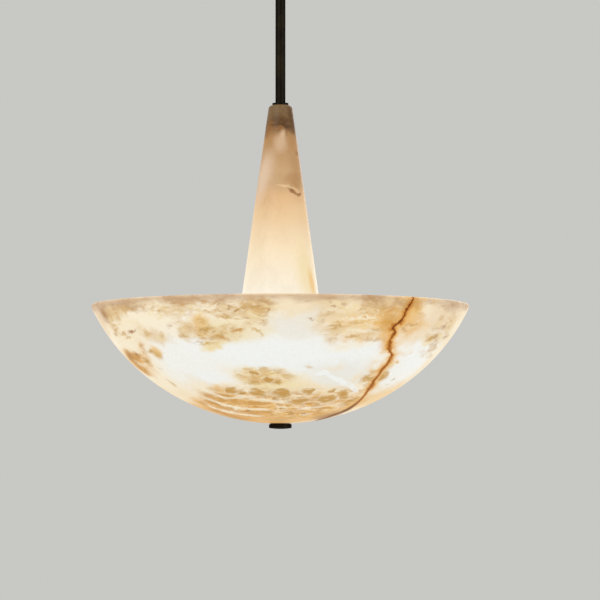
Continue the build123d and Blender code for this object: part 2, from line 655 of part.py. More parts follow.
def lamp_holder(angle):
    """The insulating body: a neck on the nipple, a wider body and a flange at its mouth."""
    with BuildPart() as holder:
        with BuildSketch(lamp_plane(angle, holder_back)):
            Circle(HOLDER_NECK_RADIUS)
        extrude(amount=HOLDER_NECK_LENGTH)
        with BuildSketch(lamp_plane(angle, holder_back + HOLDER_NECK_LENGTH)):
            Circle(HOLDER_BODY_RADIUS)
        extrude(amount=HOLDER_BODY_LENGTH)
        with BuildSketch(lamp_plane(angle, holder_mouth - HOLDER_FLANGE_WIDTH)):
            Circle(HOLDER_FLANGE_RADIUS)
        extrude(amount=HOLDER_FLANGE_WIDTH)
        flange_edges = holder.edges().filter_by(GeomType.CIRCLE).sort_by(SortBy.RADIUS)[-2:]
        fillet(flange_edges, HOLDER_EDGE_RADIUS)
        with BuildSketch(lamp_plane(angle, holder_back)):
            Circle(pipe_hole_radius)
        extrude(amount=nipple_end - holder_back, mode=Mode.SUBTRACT)
        with BuildSketch(lamp_plane(angle, nipple_end)):
            with Locations((WIRE_PASSAGE_OFFSET, 0)):
                Circle(WIRE_PORT_RADIUS)
        extrude(amount=holder_socket_back - nipple_end, mode=Mode.SUBTRACT)
        with BuildSketch(lamp_plane(angle, holder_socket_back)):
            Circle(shell_radius)
        extrude(amount=holder_mouth - holder_socket_back, mode=Mode.SUBTRACT)
    return holder.part


def holder_shell(angle):
    """The metal screw shell that lines the holder's socket and takes the lamp's cap."""
    with BuildPart() as shell:
        with BuildSketch(lamp_plane(angle, holder_mouth - LAMP_CAP_LENGTH)):
            Circle(shell_radius)
            Circle(shell_bore_radius, mode=Mode.SUBTRACT)
        extrude(amount=LAMP_CAP_LENGTH)
    return shell.part


def centre_contact(angle):
    """The metal tongue at the back of the socket, which the lamp's tip presses on."""
    with BuildPart() as contact:
        with BuildSketch(lamp_plane(angle, holder_socket_back)):
            SlotOverall(CONTACT_LENGTH, CONTACT_WIDTH)
        extrude(amount=CONTACT_THICKNESS)
    return contact.part


def lamp_cap(angle):
    """The lamp's screw cap, stepped in at its contact tip."""
    with BuildPart() as cap:
        with BuildSketch(lamp_plane(angle, holder_mouth - LAMP_CAP_LENGTH)):
            Circle(LAMP_CAP_RADIUS)
        extrude(amount=LAMP_CAP_LENGTH)
        with BuildSketch(lamp_plane(angle, holder_mouth - LAMP_CAP_LENGTH)) as wide_end:
            Circle(LAMP_CAP_RADIUS)
        with BuildSketch(lamp_plane(angle, lamp_tip)) as tip_end:
            Circle(LAMP_CAP_TIP_RADIUS)
        loft(sections=[wide_end.sketch, tip_end.sketch])
    return cap.part


def lamp_collar(angle):
    """The lamp's flared plastic collar between cap and globe."""
    with BuildPart() as collar:
        with BuildSketch(lamp_plane(angle, holder_mouth)) as foot:
            Circle(LAMP_COLLAR_FOOT_RADIUS)
        with BuildSketch(lamp_plane(angle, holder_mouth + LAMP_COLLAR_LENGTH)) as brim:
            Circle(LAMP_COLLAR_RADIUS)
        loft(sections=[foot.sketch, brim.sketch])
    return collar.part


def lamp_globe(angle):
    """The lamp's hollow opal globe, cut flat where it meets the collar."""
    collar_end = lamp_plane(angle, holder_mouth + LAMP_COLLAR_LENGTH)
    centre = lamp_plane(angle, globe_centre).origin
    with BuildPart() as globe:
        with Locations(centre):
            Sphere(LAMP_GLOBE_RADIUS)
            Sphere(LAMP_GLOBE_RADIUS - LAMP_GLOBE_WALL, mode=Mode.SUBTRACT)
        split(bisect_by=collar_end, keep=Keep.TOP)
    return globe.part


for number, angle in enumerate(lamp_angles(), start=1):
    save(lamp_holder(angle), f"lamp_holder_{number}")
    save(holder_shell(angle), f"holder_shell_{number}")
    save(centre_contact(angle), f"centre_contact_{number}")
    save(lamp_cap(angle), f"lamp_cap_{number}")
    save(lamp_collar(angle), f"lamp_collar_{number}")
    save(lamp_globe(angle), f"lamp_globe_{number}")

# ---------------------------------------------------------------------------------------------
# Bowl and the clamp that holds it
# ---------------------------------------------------------------------------------------------

# Plate: rests on the bowl's floor and takes the thrust of the spacer above it
with BuildPart() as bowl_plate:
    with BuildSketch(Plane.XY.offset(bowl_plate_bottom_z)):
        Circle(BOWL_PLATE_RADIUS)
    extrude(amount=BOWL_PLATE_THICKNESS)
    fillet(bowl_plate.faces().sort_by(Axis.Z)[-1].edges(), BOWL_PLATE_EDGE_RADIUS)
    with BuildSketch(Plane.XY.offset(bowl_plate_bottom_z)):
        Circle(pipe_hole_radius)
    extrude(amount=BOWL_PLATE_THICKNESS, mode=Mode.SUBTRACT)
save(bowl_plate.part, "bowl_plate")

# Inner gasket: flat above, and shaped to the bowl's floor below
with BuildPart() as inner_gasket:
    with BuildSketch(Plane.XZ):
        with Locations((bowl_hole_radius, bowl_plate_bottom_z)):
            Rectangle(
                BOWL_PLATE_RADIUS - bowl_hole_radius, BOWL_WALL, align=(Align.MIN, Align.MAX)
            )
        with Locations((0, ball_centre_z)):
            Ellipse(hollow_half_width, hollow_half_height, mode=Mode.INTERSECT)
    revolve(axis=Axis.Z)
save(inner_gasket.part, "inner_gasket")

# Bowl: the shell between two flattened balls, cut off at the rim and drilled at the bottom
with BuildPart() as alabaster_bowl:
    with BuildSketch(Plane.XZ) as bowl_section:
        with Locations((0, ball_centre_z)):
            Ellipse(ball_half_width, BOWL_BALL_HALF_HEIGHT)
            Ellipse(hollow_half_width, hollow_half_height, mode=Mode.SUBTRACT)
        with Locations((bowl_hole_radius, rim_z)):
            Rectangle(BOWL_DIAMETER, BOWL_DIAMETER, align=(Align.MIN, Align.MAX), mode=Mode.INTERSECT)
        fillet(bowl_section.vertices().group_by(Axis.Y)[-1], BOWL_LIP_RADIUS)
    revolve(axis=Axis.Z)
save(alabaster_bowl.part, "alabaster_bowl")

# Outer gasket: flat below, and shaped to the bowl's underside above
with BuildPart() as outer_gasket:
    with BuildSketch(Plane.XZ):
        with Locations((bowl_hole_radius, finial_top_z)):
            Rectangle(
                FINIAL_RADIUS - OUTER_GASKET_MARGIN - bowl_hole_radius,
                BOWL_WALL,
                align=(Align.MIN, Align.MIN),
            )
        with Locations((0, ball_centre_z)):
            Ellipse(ball_half_width, BOWL_BALL_HALF_HEIGHT, mode=Mode.SUBTRACT)
    revolve(axis=Axis.Z)
save(outer_gasket.part, "outer_gasket")

# Finial: a thin knob with a domed face and a threaded neck that reaches up into the bowl's hole
with BuildPart() as finial:
    with BuildSketch(Plane.XZ) as finial_section:
        with BuildLine():
            Polyline(
                (0, finial_bottom_z - FINIAL_DOME),
                (0, finial_neck_z),
                (FINIAL_NECK_RADIUS, finial_neck_z),
                (FINIAL_NECK_RADIUS, finial_top_z),
                (FINIAL_RADIUS, finial_top_z),
                (FINIAL_RADIUS, finial_bottom_z),
            )
            dome_radius = (FINIAL_RADIUS**2 + FINIAL_DOME**2) / (2 * FINIAL_DOME)
            dome_middle_x = FINIAL_RADIUS / 2
            ThreePointArc(
                (FINIAL_RADIUS, finial_bottom_z),
                (
                    dome_middle_x,
                    finial_bottom_z - FINIAL_DOME + dome_radius
                    - sqrt(dome_radius**2 - dome_middle_x**2),
                ),
                (0, finial_bottom_z - FINIAL_DOME),
            )
        make_face()
        fillet(finial_section.vertices().group_by(Axis.X)[-1], FINIAL_EDGE_RADIUS)
    revolve(axis=Axis.Z)
    with BuildSketch(Plane.XY.offset(finial_neck_z)):
        Circle(pipe_hole_radius)
    extrude(amount=-FINIAL_THREAD_DEPTH, mode=Mode.SUBTRACT)
save(finial.part, "finial")
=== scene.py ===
"""The looks of the alabaster bowl pendant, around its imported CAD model. Lengths are in metres.

The bowl and the cone are turned again here with finer meshes, because their stone carries the picture:
its clouds, marks and the crack are placed where the photograph shows them, by pixels of its 600 x 600
frame that are cast through the camera on to the stone. The lamps and their holders are remodelled, and
the fittings keep their CAD meshes. Every piece gets a procedural material.
"""
import bpy
import math
from mathutils import Matrix, Vector


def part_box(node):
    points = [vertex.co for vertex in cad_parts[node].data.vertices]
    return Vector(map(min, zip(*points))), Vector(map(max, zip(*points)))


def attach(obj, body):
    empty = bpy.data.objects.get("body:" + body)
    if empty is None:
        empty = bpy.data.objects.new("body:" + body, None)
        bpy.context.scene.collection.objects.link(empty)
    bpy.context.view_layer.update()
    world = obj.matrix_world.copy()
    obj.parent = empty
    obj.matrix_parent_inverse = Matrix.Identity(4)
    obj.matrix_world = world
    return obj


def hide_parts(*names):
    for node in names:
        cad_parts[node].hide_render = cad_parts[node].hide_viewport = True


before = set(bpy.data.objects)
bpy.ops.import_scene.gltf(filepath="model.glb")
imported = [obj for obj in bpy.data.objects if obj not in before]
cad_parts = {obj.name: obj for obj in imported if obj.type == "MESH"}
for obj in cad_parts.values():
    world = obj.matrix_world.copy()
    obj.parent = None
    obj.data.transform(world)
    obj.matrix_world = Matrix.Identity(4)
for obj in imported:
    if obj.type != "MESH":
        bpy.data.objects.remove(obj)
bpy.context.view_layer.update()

# ---- Sizes and places ----

PHOTO_SIZE = 600
SENSOR_WIDTH = 0.036
FOCAL_PIXELS = 3363.6
CAMERA_DISTANCE = 4.0
CAMERA_BELOW_RIM = 0.235
AIM_RIGHT_OF_AXIS = 0.0234
AIM_ABOVE_RIM = 0.006

BOWL_LOW, BOWL_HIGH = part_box("alabaster_bowl")
RIM_Z = BOWL_HIGH.z
BOWL_BOTTOM_Z = BOWL_LOW.z
BOWL_WALL = 0.009
BOWL_LIP_RADIUS = 0.0025
BOWL_HOLE_RADIUS = 0.0079
BOWL_LIP_SPACING = 0.0005
BOWL_SEGMENTS = 360
BALL_HALF_WIDTH = 0.24705
BALL_HALF_HEIGHT = 0.2358
BALL_CENTRE_Z = BOWL_BOTTOM_Z + BALL_HALF_HEIGHT

CONE_LOW, CONE_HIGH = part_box("alabaster_cone")
CONE_TOP_RADIUS = 0.0137
CONE_BASE_RADIUS = CONE_HIGH.x
CONE_HEIGHT = CONE_HIGH.z - CONE_LOW.z
CONE_TAPER = (CONE_BASE_RADIUS - CONE_TOP_RADIUS) / CONE_HEIGHT
CONE_WALL = 0.009
CONE_WALL_ACROSS = CONE_WALL * math.sqrt(1 + CONE_TAPER**2)
CONE_CROWN = 0.012
CONE_HOLE_RADIUS = 0.00545
CONE_SHOULDER_RADIUS = 0.0045
CONE_FOOT_RADIUS = 0.001
CONE_SEGMENTS = 144

NEARLY_NOTHING = 1e-9
ROUNDING = 1e-6
SHARP_ANGLE = math.radians(35)

# Lamps and their holders, along each lamp's axis from the rod
LAMP_COUNT = 4
HOLDER_LOW, HOLDER_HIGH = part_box("lamp_holder_1")
COLLAR_LOW, COLLAR_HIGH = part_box("lamp_collar_1")
GLOBE_LOW, GLOBE_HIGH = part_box("lamp_globe_1")
CAP_LOW, CAP_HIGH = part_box("lamp_cap_1")
LAMP_Z = (GLOBE_LOW.z + GLOBE_HIGH.z) / 2
HOLDER_BACK = HOLDER_LOW.x
HOLDER_MOUTH = HOLDER_HIGH.x
HOLDER_BACK_ROUNDING = 0.0012
HOLDER_NECK_RADIUS = 0.0105
HOLDER_NECK_ROUNDING = 0.001
HOLDER_GROOVE_START = 0.0035
HOLDER_GROOVE_SIDE = 0.0007
HOLDER_GROOVE_FLOOR = 0.0008
HOLDER_GROOVE_DEPTH = 0.0006
HOLDER_SHOULDER = 0.009
HOLDER_BODY_RADIUS = 0.013
HOLDER_FLANGE_RADIUS = HOLDER_HIGH.y
HOLDER_FLANGE_WIDTH = 0.004
HOLDER_FLANGE_ROUNDING = 0.0009
HOLDER_NIPPLE_BORE = 0.005
HOLDER_NIPPLE_DEPTH = 0.007
HOLDER_BORE_ROUNDING = 0.0003
HOLDER_WIRE_BORE = 0.0025
HOLDER_SOCKET_RADIUS = 0.0076
HOLDER_SOCKET_DEPTH = 0.0196
HOLDER_SOCKET_LIP = 0.0012
HOLDER_SOCKET_BEVEL = 0.0006
HOLDER_FLUTES = 20
HOLDER_FLUTE_DEPTH = 0.0007
HOLDER_FLUTE_START = 0.002
HOLDER_FLUTE_END = 0.004
HOLDER_FLUTE_EASE = 0.002
HOLDER_SIDE_STEPS = 28
COLLAR_LENGTH = COLLAR_HIGH.x - COLLAR_LOW.x
COLLAR_FOOT_RADIUS = 0.0085
COLLAR_FOOT_BEVEL = 0.0006
COLLAR_BRIM_RADIUS = COLLAR_HIGH.y
COLLAR_BRIM_BEVEL = 0.0004
COLLAR_HOLLOW = 0.0012
COLLAR_STEPS = 33
VENTS = 16
VENT_DEPTH = 0.0006
VENT_START, VENT_END, VENT_EASE = 0.15, 0.8, 0.08
GLOBE_RADIUS = GLOBE_HIGH.y
GLOBE_WALL = 0.001
CAP_RADIUS = CAP_HIGH.y
CAP_TIP_RADIUS = 0.003
CAP_TIP_LENGTH = 0.004
CAP_TIP_BEVEL = 0.0005
CAP_TIP_BAND = 0.0008
CAP_CONE_GAP = 0.0002
CAP_CONE_INSET = 0.0003
CAP_THREAD_PITCH = 0.00282
CAP_THREAD_DEPTH = 0.0007
CAP_THREAD_EASE = 0.0025

# ---- Camera ----


def make_camera():
    """A long lens a little below the rim, as in the photograph."""
    data = bpy.data.cameras.new("camera")
    data.sensor_width = SENSOR_WIDTH * 1000
    data.lens = FOCAL_PIXELS / PHOTO_SIZE * data.sensor_width
    data.clip_end = 100.0
    camera = bpy.data.objects.new("camera", data)
    bpy.context.scene.collection.objects.link(camera)
    camera.location = (0.0, -CAMERA_DISTANCE, RIM_Z - CAMERA_BELOW_RIM)
    aim = Vector((AIM_RIGHT_OF_AXIS, 0.0, RIM_Z + AIM_ABOVE_RIM))
    camera.rotation_euler = (aim - camera.location).to_track_quat("-Z", "Y").to_euler()
    bpy.context.scene.camera = camera
    bpy.context.view_layer.update()
    return camera


CAMERA = make_camera()


def pixel_ray(x, y):
    """The start and direction of the ray through a pixel of the photograph."""
    half = PHOTO_SIZE / 2
    local = Vector(((x - half) / FOCAL_PIXELS, (half - y) / FOCAL_PIXELS, -1.0))
    turn = CAMERA.matrix_world.to_3x3()
    return CAMERA.matrix_world.translation, (turn @ local).normalized()


def nearest_root(a, b, c):
    """The smaller root of a quadratic, or its turning point where the ray just misses."""
    return (-b - math.sqrt(max(b * b - 4 * a * c, 0.0))) / (2 * a)


def on_bowl(x, y):
    """The point of the bowl's outside that the photograph shows at a pixel, and its normal."""
    start, way = pixel_ray(x, y)
    squash = Vector((1 / BALL_HALF_WIDTH, 1 / BALL_HALF_WIDTH, 1 / BALL_HALF_HEIGHT))
    centre = Vector((0.0, 0.0, BALL_CENTRE_Z))
    p = (start - centre) * squash
    d = way * squash
    point = start + way * nearest_root(d.dot(d), 2 * p.dot(d), p.dot(p) - 1)
    return point, ((point - centre) * squash * squash).normalized()


def on_cone(x, y):
    """The point of the cone's outside that the photograph shows at a pixel, and its normal."""
    start, way = pixel_ray(x, y)
    apex = Vector((0.0, 0.0, CONE_HIGH.z + CONE_TOP_RADIUS / CONE_TAPER))
    p = start - apex
    slope = CONE_TAPER**2
    a = way.x**2 + way.y**2 - slope * way.z**2
    b = 2 * (p.x * way.x + p.y * way.y - slope * p.z * way.z)
    c = p.x**2 + p.y**2 - slope * p.z**2
    point = start + way * nearest_root(a, b, c)
    across = Vector((point.x, point.y, 0.0)).normalized()
    return point, (across + Vector((0.0, 0.0, CONE_TAPER))).normalized()


# ---- Mesh helpers ----


def fillet_points(before, corner, after, radius, steps):
    """The points of an arc that rounds the corner of an outline."""
    a = (before - corner).normalized()
    b = (after - corner).normalized()
    half = a.angle(b) / 2
    centre = corner + (a + b).normalized() * (radius / math.sin(half))
    start = corner + a * (radius / math.tan(half)) - centre
    end = corner + b * (radius / math.tan(half)) - centre
    return [centre + start.slerp(end, i / steps) * radius for i in range(steps + 1)]


def mesh_object(name, vertices, faces, material):
    """A mesh object at the origin, with one material."""
    mesh = bpy.data.meshes.new(name)
    mesh.from_pydata([tuple(v) for v in vertices], [], faces)
    mesh.update()
    for polygon in mesh.polygons:
        polygon.use_smooth = True
    mesh.materials.append(material)
    piece = bpy.data.objects.new(name, mesh)
    bpy.context.scene.collection.objects.link(piece)
    return piece


def turned(name, outline, segments, material, place=None, shape=None):
    """A closed outline of (radius, height) points, turned about Z and then placed by a matrix.

    shape gives a point's radius from its radius, height and angle, for pieces that aren't quite round.
    """
    place = place or Matrix.Identity(4)
    vertices, rings = [], []
    for radius, height in outline:
        count = 1 if radius < NEARLY_NOTHING else segments
        rings.append((len(vertices), count))
        for i in range(count):
            angle = 2 * math.pi * i / segments
            reach = shape(radius, height, angle) if shape else radius
            vertices.append(place @ Vector((reach * math.cos(angle), reach * math.sin(angle), height)))
    faces = []
    for (low, low_count), (high, high_count) in zip(rings, rings[1:] + rings[:1]):
        for i in range(segments):
            k = (i + 1) % segments
            around = (low + i % low_count, low + k % low_count, high + k % high_count, high + i % high_count)
            corners = list(dict.fromkeys(around))
            if len(corners) > 2:
                faces.append(corners)
    piece = mesh_object(name, vertices, faces, material)
    piece.data.set_sharp_from_angle(angle=SHARP_ANGLE)
    return piece


def eased(corners, steps=4):
    """An outline of (radius, height, rounding) corners, each rounded by its own radius."""
    spots = [Vector((radius, height)) for radius, height, rounding in corners]
    points = []
    for i, (radius, height, rounding) in enumerate(corners):
        if rounding == 0:
            points.append(spots[i])
        else:
            after = spots[(i + 1) % len(spots)]
            points.extend(fillet_points(spots[i - 1], spots[i], after, rounding, steps))
    return points


# ---- Material helpers ----


def srgb(red, green, blue):
    """A colour as a screen shows it, from 0 to 255, in linear light."""
    shares = [v / 255 for v in (red, green, blue)]
    return tuple(v / 12.92 if v <= 0.04045 else ((v + 0.055) / 1.055) ** 2.4 for v in shares) + (1.0,)


class Nodes:
    """A material's node tree, built by short calls that hand on sockets."""

    def __init__(self, name):
        self.material = bpy.data.materials.new(name)
        self.material.use_nodes = True
        self.tree = self.material.node_tree
        self.shader = self.tree.nodes["Principled BSDF"]
        self.place = self.put("TexCoord", {}, out="Object")

    def put(self, kind, inputs, out=0, **settings):
        """Adds a node, fills its inputs with numbers or sockets, and hands on one output."""
        node = self.tree.nodes.new("ShaderNode" + kind)
        for key, value in settings.items():
            setattr(node, key, value)
        for key, value in inputs.items():
            self.feed(node.inputs[key], value)
        return node.outputs[out]

    def feed(self, socket, value):
        if isinstance(value, bpy.types.NodeSocket):
            self.tree.links.new(value, socket)
        else:
            socket.default_value = value

    def set(self, **inputs):
        """Fills inputs of the shader, named with _ for spaces."""
        for key, value in inputs.items():
            self.feed(self.shader.inputs[key.replace("_", " ")], value)

    def math(self, operation, *values):
        return self.put("Math", dict(enumerate(values)), operation=operation)

    def times(self, first, second):
        return self.math("MULTIPLY", first, second)

    def vector(self, operation, *values, out=0):
        return self.put("VectorMath", dict(enumerate(values)), operation=operation, out=out)

    def noise(self, place, scale, detail=4.0, roughness=0.55, out=0):
        inputs = {"Vector": place, "Scale": scale, "Detail": detail, "Roughness": roughness}
        return self.put("TexNoise", inputs, out=out)

    def spread(self, value, low, high, start=0.0, end=1.0):
        """A smooth step from start to end as value goes from low to high."""
        inputs = {"Value": value, "From Min": low, "From Max": high, "To Min": start, "To Max": end}
        return self.put("MapRange", inputs, interpolation_type="SMOOTHSTEP")

    def mix(self, share, first, second):
        """A colour between two colours."""
        node = self.tree.nodes.new("ShaderNodeMix")
        node.data_type = "RGBA"
        self.feed(node.inputs[0], share)
        self.feed(node.inputs[6], first)
        self.feed(node.inputs[7], second)
        return node.outputs[2]

    def ramp(self, share, stops):
        """A colour ramp with (place, colour) stops."""
        node = self.tree.nodes.new("ShaderNodeValToRGB")
        node.color_ramp.elements.remove(node.color_ramp.elements[1])
        for i, (where, colour) in enumerate(stops):
            element = node.color_ramp.elements[0] if i == 0 else node.color_ramp.elements.new(where)
            element.position = where
            element.color = colour
        self.feed(node.inputs[0], share)
        return node.outputs[0]

    def curve(self, value, points):
        """A value looked up on straight runs between (x, y) points, all from 0 to 1."""
        node = self.tree.nodes.new("ShaderNodeFloatCurve")
        line = node.mapping.curves[0]
        for i, (x, y) in enumerate(points):
            if i < 2:
                line.points[i].location = (x, y)
            else:
                line.points.new(x, y)
        for point in line.points:
            point.handle_type = "VECTOR"
        node.mapping.update()
        self.feed(node.inputs["Value"], value)
        return node.outputs[0]

    def ball(self, place, middle, turn, radii):
        """1 at the middle of a turned and stretched ball, falling to 0 at its surface."""
        node = self.tree.nodes.new("ShaderNodeTexGradient")
        node.gradient_type = "SPHERICAL"
        node.texture_mapping.vector_type = "TEXTURE"
        node.texture_mapping.translation = middle
        node.texture_mapping.rotation = turn
        node.texture_mapping.scale = radii
        self.feed(node.inputs["Vector"], place)
        return node.outputs["Fac"]

    def warped(self, place, scale, reach, detail):
        """A place pushed about by noise, up to about half of reach each way."""
        colour = self.noise(place, scale, detail, out="Color")
        parts = {i: self.put("SeparateColor", {0: colour}, out=i) for i in range(3)}
        push = self.vector("SUBTRACT", self.put("CombineXYZ", parts), (0.5, 0.5, 0.5))
        return self.vector("ADD", place, self.vector("MULTIPLY", push, (reach, reach, reach)))

    def bump(self, height, distance, strength):
        inputs = {"Height": height, "Distance": distance, "Strength": strength}
        self.set(Normal=self.put("Bump", inputs))


# ---- Alabaster ----

# The stones' glow is painted light: their colour is also their emission, as if lit through by the lamps
# inside.
BOWL_PAINTED_GLOW = 0.72
CONE_PAINTED_GLOW = 0.68
STONE_BASE_SHARE = 0.30
MARK_DEPTH = 0.03
MARK_LEAST_RADIUS = 0.0006
MARKS_AT_ONCE = 30

BLACK = srgb(0, 0, 0)
WHITE = srgb(247, 249, 247)
GREY_WHITE = srgb(238, 237, 230)
CREAM = srgb(252, 241, 216)
PEACH = srgb(248, 229, 195)
PINK = srgb(236, 210, 174)
PINK_TAN = srgb(194, 158, 122)
YELLOW = srgb(244, 222, 168)
HONEY = srgb(242, 202, 136)
AMBER = srgb(230, 174, 92)
TAN = srgb(219, 182, 126)
OCHRE = srgb(200, 156, 82)
RUST = srgb(202, 146, 66)
BROWN = srgb(164, 114, 60)
UMBER = srgb(136, 90, 44)
RUST_DARK = srgb(192, 112, 28)
CRACK_CORE = srgb(146, 84, 0)
CRACK_DARK = srgb(104, 46, 0)
CRACK_LOW = srgb(112, 68, 0)

# Marks in the bowl's stone: x, y, half width and half height in pixels of the photograph, tilt in
# degrees clockwise, colour, and how fully the colour covers. Later marks lie over earlier ones.
BOWL_ZONES = [
    (262, 354, 104, 26, 0, WHITE, 1.0), (352, 350, 52, 26, 0, WHITE, 0.95),
    (186, 362, 40, 28, 20, WHITE, 0.85), (303, 322, 34, 17, 0, GREY_WHITE, 0.75),
    (298, 303, 34, 10, 0, PEACH, 0.85), (422, 350, 22, 26, 15, WHITE, 0.85),
    (146, 316, 26, 9, -6, CREAM, 0.8), (112, 325, 18, 12, 40, PEACH, 0.5),
    (168, 392, 26, 9, 26, PEACH, 0.35), (446, 318, 26, 16, -10, PINK, 0.6),
    (455, 345, 26, 10, -45, PEACH, 0.5), (398, 376, 34, 14, -35, WHITE, 0.8),
    (378, 398, 24, 6, -32, HONEY, 0.7), (344, 375, 36, 14, 8, GREY_WHITE, 0.8),
    (270, 384, 30, 12, 4, YELLOW, 0.7), (264, 407, 66, 14, 4, HONEY, 1.0),
    (322, 408, 50, 13, -8, HONEY, 1.0), (250, 402, 40, 8, 2, AMBER, 0.3), (320, 402, 38, 6, -6, AMBER, 0.7),
    (236, 329, 34, 13, 0, YELLOW, 0.6), (168, 326, 26, 9, 0, CREAM, 0.7), (414, 335, 16, 9, 0, HONEY, 0.45),
    (412, 384, 18, 9, -35, PEACH, 0.8), (412, 380, 12, 6, -35, HONEY, 0.7),
    (280, 420, 74, 9, 0, AMBER, 0.7), (354, 318, 36, 22, 0, PEACH, 0.9), (338, 308, 22, 12, 0, TAN, 0.5),
    (374, 314, 22, 13, 0, HONEY, 0.6), (389, 320, 11, 17, 10, AMBER, 0.5),
]
# Stretches full of streaks and flecks: x, y, half width, half height, tilt, and how strongly they show
BOWL_STREAKY = [
    (190, 310, 100, 12, -2, 1.0), (208, 326, 30, 14, 0, 0.9), (150, 335, 22, 8, 4, 0.8),
    (112, 318, 12, 10, 50, 0.8), (256, 310, 26, 13, 0, 1.0), (356, 318, 36, 24, 2, 1.0),
    (405, 316, 24, 16, 0, 0.8), (440, 334, 18, 16, -20, 0.8),
]
# Stretches of dark cells with pale edges, in the same terms
BOWL_CELLED = [
    (263, 377, 25, 8, 8, 0.6), (262, 406, 58, 16, 8, 1.0), (322, 405, 46, 12, -8, 1.0),
    (140, 361, 9, 12, -42, 0.8), (376, 377, 14, 7, -20, 0.8),
]
# Coloured marks again, from clouds to spots, in the terms of the first table
BOWL_CLOUDS = [
    (254, 306, 19, 8, 0, TAN, 0.8), (190, 303.5, 18, 3, 2, RUST, 0.45), (178, 313, 18, 4, 0, TAN, 0.4),
    (128, 309, 13, 4.5, -4, PINK_TAN, 0.9), (131, 311, 8, 3, -8, OCHRE, 0.4),
    (102, 310, 10, 7, 24, PINK_TAN, 0.9), (111, 311, 14, 7, 10, TAN, 0.75), (122, 311.5, 8, 4, 0, TAN, 0.7),
    (96, 308, 9, 8, 30, PINK_TAN, 0.6), (100, 319, 10, 8, 50, PINK, 0.8), (156, 336, 13, 7, 0, TAN, 0.5),
    (203, 326, 10, 8, 10, HONEY, 0.9), (187, 329, 8, 7, 0, TAN, 0.5), (215, 342, 14, 4, -12, YELLOW, 0.9),
    (226, 332, 20, 6, 0, YELLOW, 0.5), (158.5, 355.5, 6, 5, 20, HONEY, 0.9),
    (137, 364, 16, 8, 47, AMBER, 0.95), (133, 357, 9, 3.5, 44, RUST, 0.8),
    (171, 382, 2.4, 3, 0, OCHRE, 0.5), (240, 379, 11, 4, 8, YELLOW, 0.5),
    (262, 376, 22, 8, 10, YELLOW, 0.9), (213, 378, 24, 8, 10, WHITE, 0.95),
    (220, 397, 18, 5, 22, AMBER, 0.8), (217, 394.5, 15, 3.6, 20, OCHRE, 0.55),
    (236, 399, 14, 4.4, 12, OCHRE, 0.45), (207, 404, 13, 4, 27, AMBER, 0.9),
    (201, 407.5, 12, 5.5, 27, AMBER, 0.8), (222, 412, 14, 4, 20, RUST, 0.75),
    (240, 418.5, 14, 4, 12, RUST, 0.75), (260, 422.5, 16, 3, 3, RUST, 0.6),
    (226, 391, 13, 4, 10, HONEY, 0.5), (204, 388, 14, 4.5, 20, CREAM, 0.8),
    (228, 386, 14, 3, 8, CREAM, 0.6), (244, 387, 9, 3.5, 8, CREAM, 0.9), (348, 309, 22, 6, 0, PEACH, 0.8),
    (356, 324, 28, 7, 2, HONEY, 0.55), (366, 338, 24, 6, 4, HONEY, 0.6), (350, 346, 24, 4, 4, CREAM, 0.6),
    (389, 318, 10, 8, 20, AMBER, 0.6), (400, 304, 14, 6, 0, TAN, 0.25), (415, 311, 10, 10, -20, HONEY, 0.9),
    (411, 307, 8, 10, 20, AMBER, 0.8), (419, 303, 6, 6, 10, RUST, 0.7), (410, 326, 13, 9, 0, AMBER, 0.6),
    (387, 338, 9, 6, 0, AMBER, 0.5), (432, 338, 10, 5, -12, YELLOW, 0.6), (433, 355, 6, 8, 20, CREAM, 0.8),
    (370, 377, 7, 5, 10, AMBER, 0.6), (381, 377, 8, 4.4, -25, AMBER, 0.6), (330, 366, 10, 4, 0, PEACH, 0.4),
    (355, 376, 4, 5, 0, PEACH, 0.7), (300, 412, 40, 5, 0, HONEY, 0.8), (240, 416, 34, 5, 14, AMBER, 0.7),
    (250, 421, 46, 3.4, 4, AMBER, 0.8), (352, 403, 14, 6, -34, AMBER, 0.8),
    (322, 405, 32, 6, -8, AMBER, 0.45), (360, 388, 12, 6, -20, CREAM, 0.95),
]
BOWL_PALE_STREAKS = [
    (214, 394, 14, 1.2, 26, CREAM, 0.8), (213, 400.5, 12, 0.9, 25, CREAM, 0.95),
    (233, 407, 13, 0.9, 14, CREAM, 0.9), (255, 409.4, 14, 0.9, 3, CREAM, 0.8),
    (209, 405.6, 9, 0.9, 27, CREAM, 0.95), (226, 411.6, 11, 0.9, 17, CREAM, 0.9),
    (248, 415, 14, 0.9, 5, CREAM, 0.7), (272, 401, 36, 1.6, 2, CREAM, 0.7),
    (330, 401, 14, 1.6, -12, CREAM, 0.6), (310, 408, 30, 1.2, -4, CREAM, 0.6),
    (360, 318.5, 18, 1.2, 2, CREAM, 0.8), (366, 331, 20, 1.4, 3, CREAM, 0.7),
]
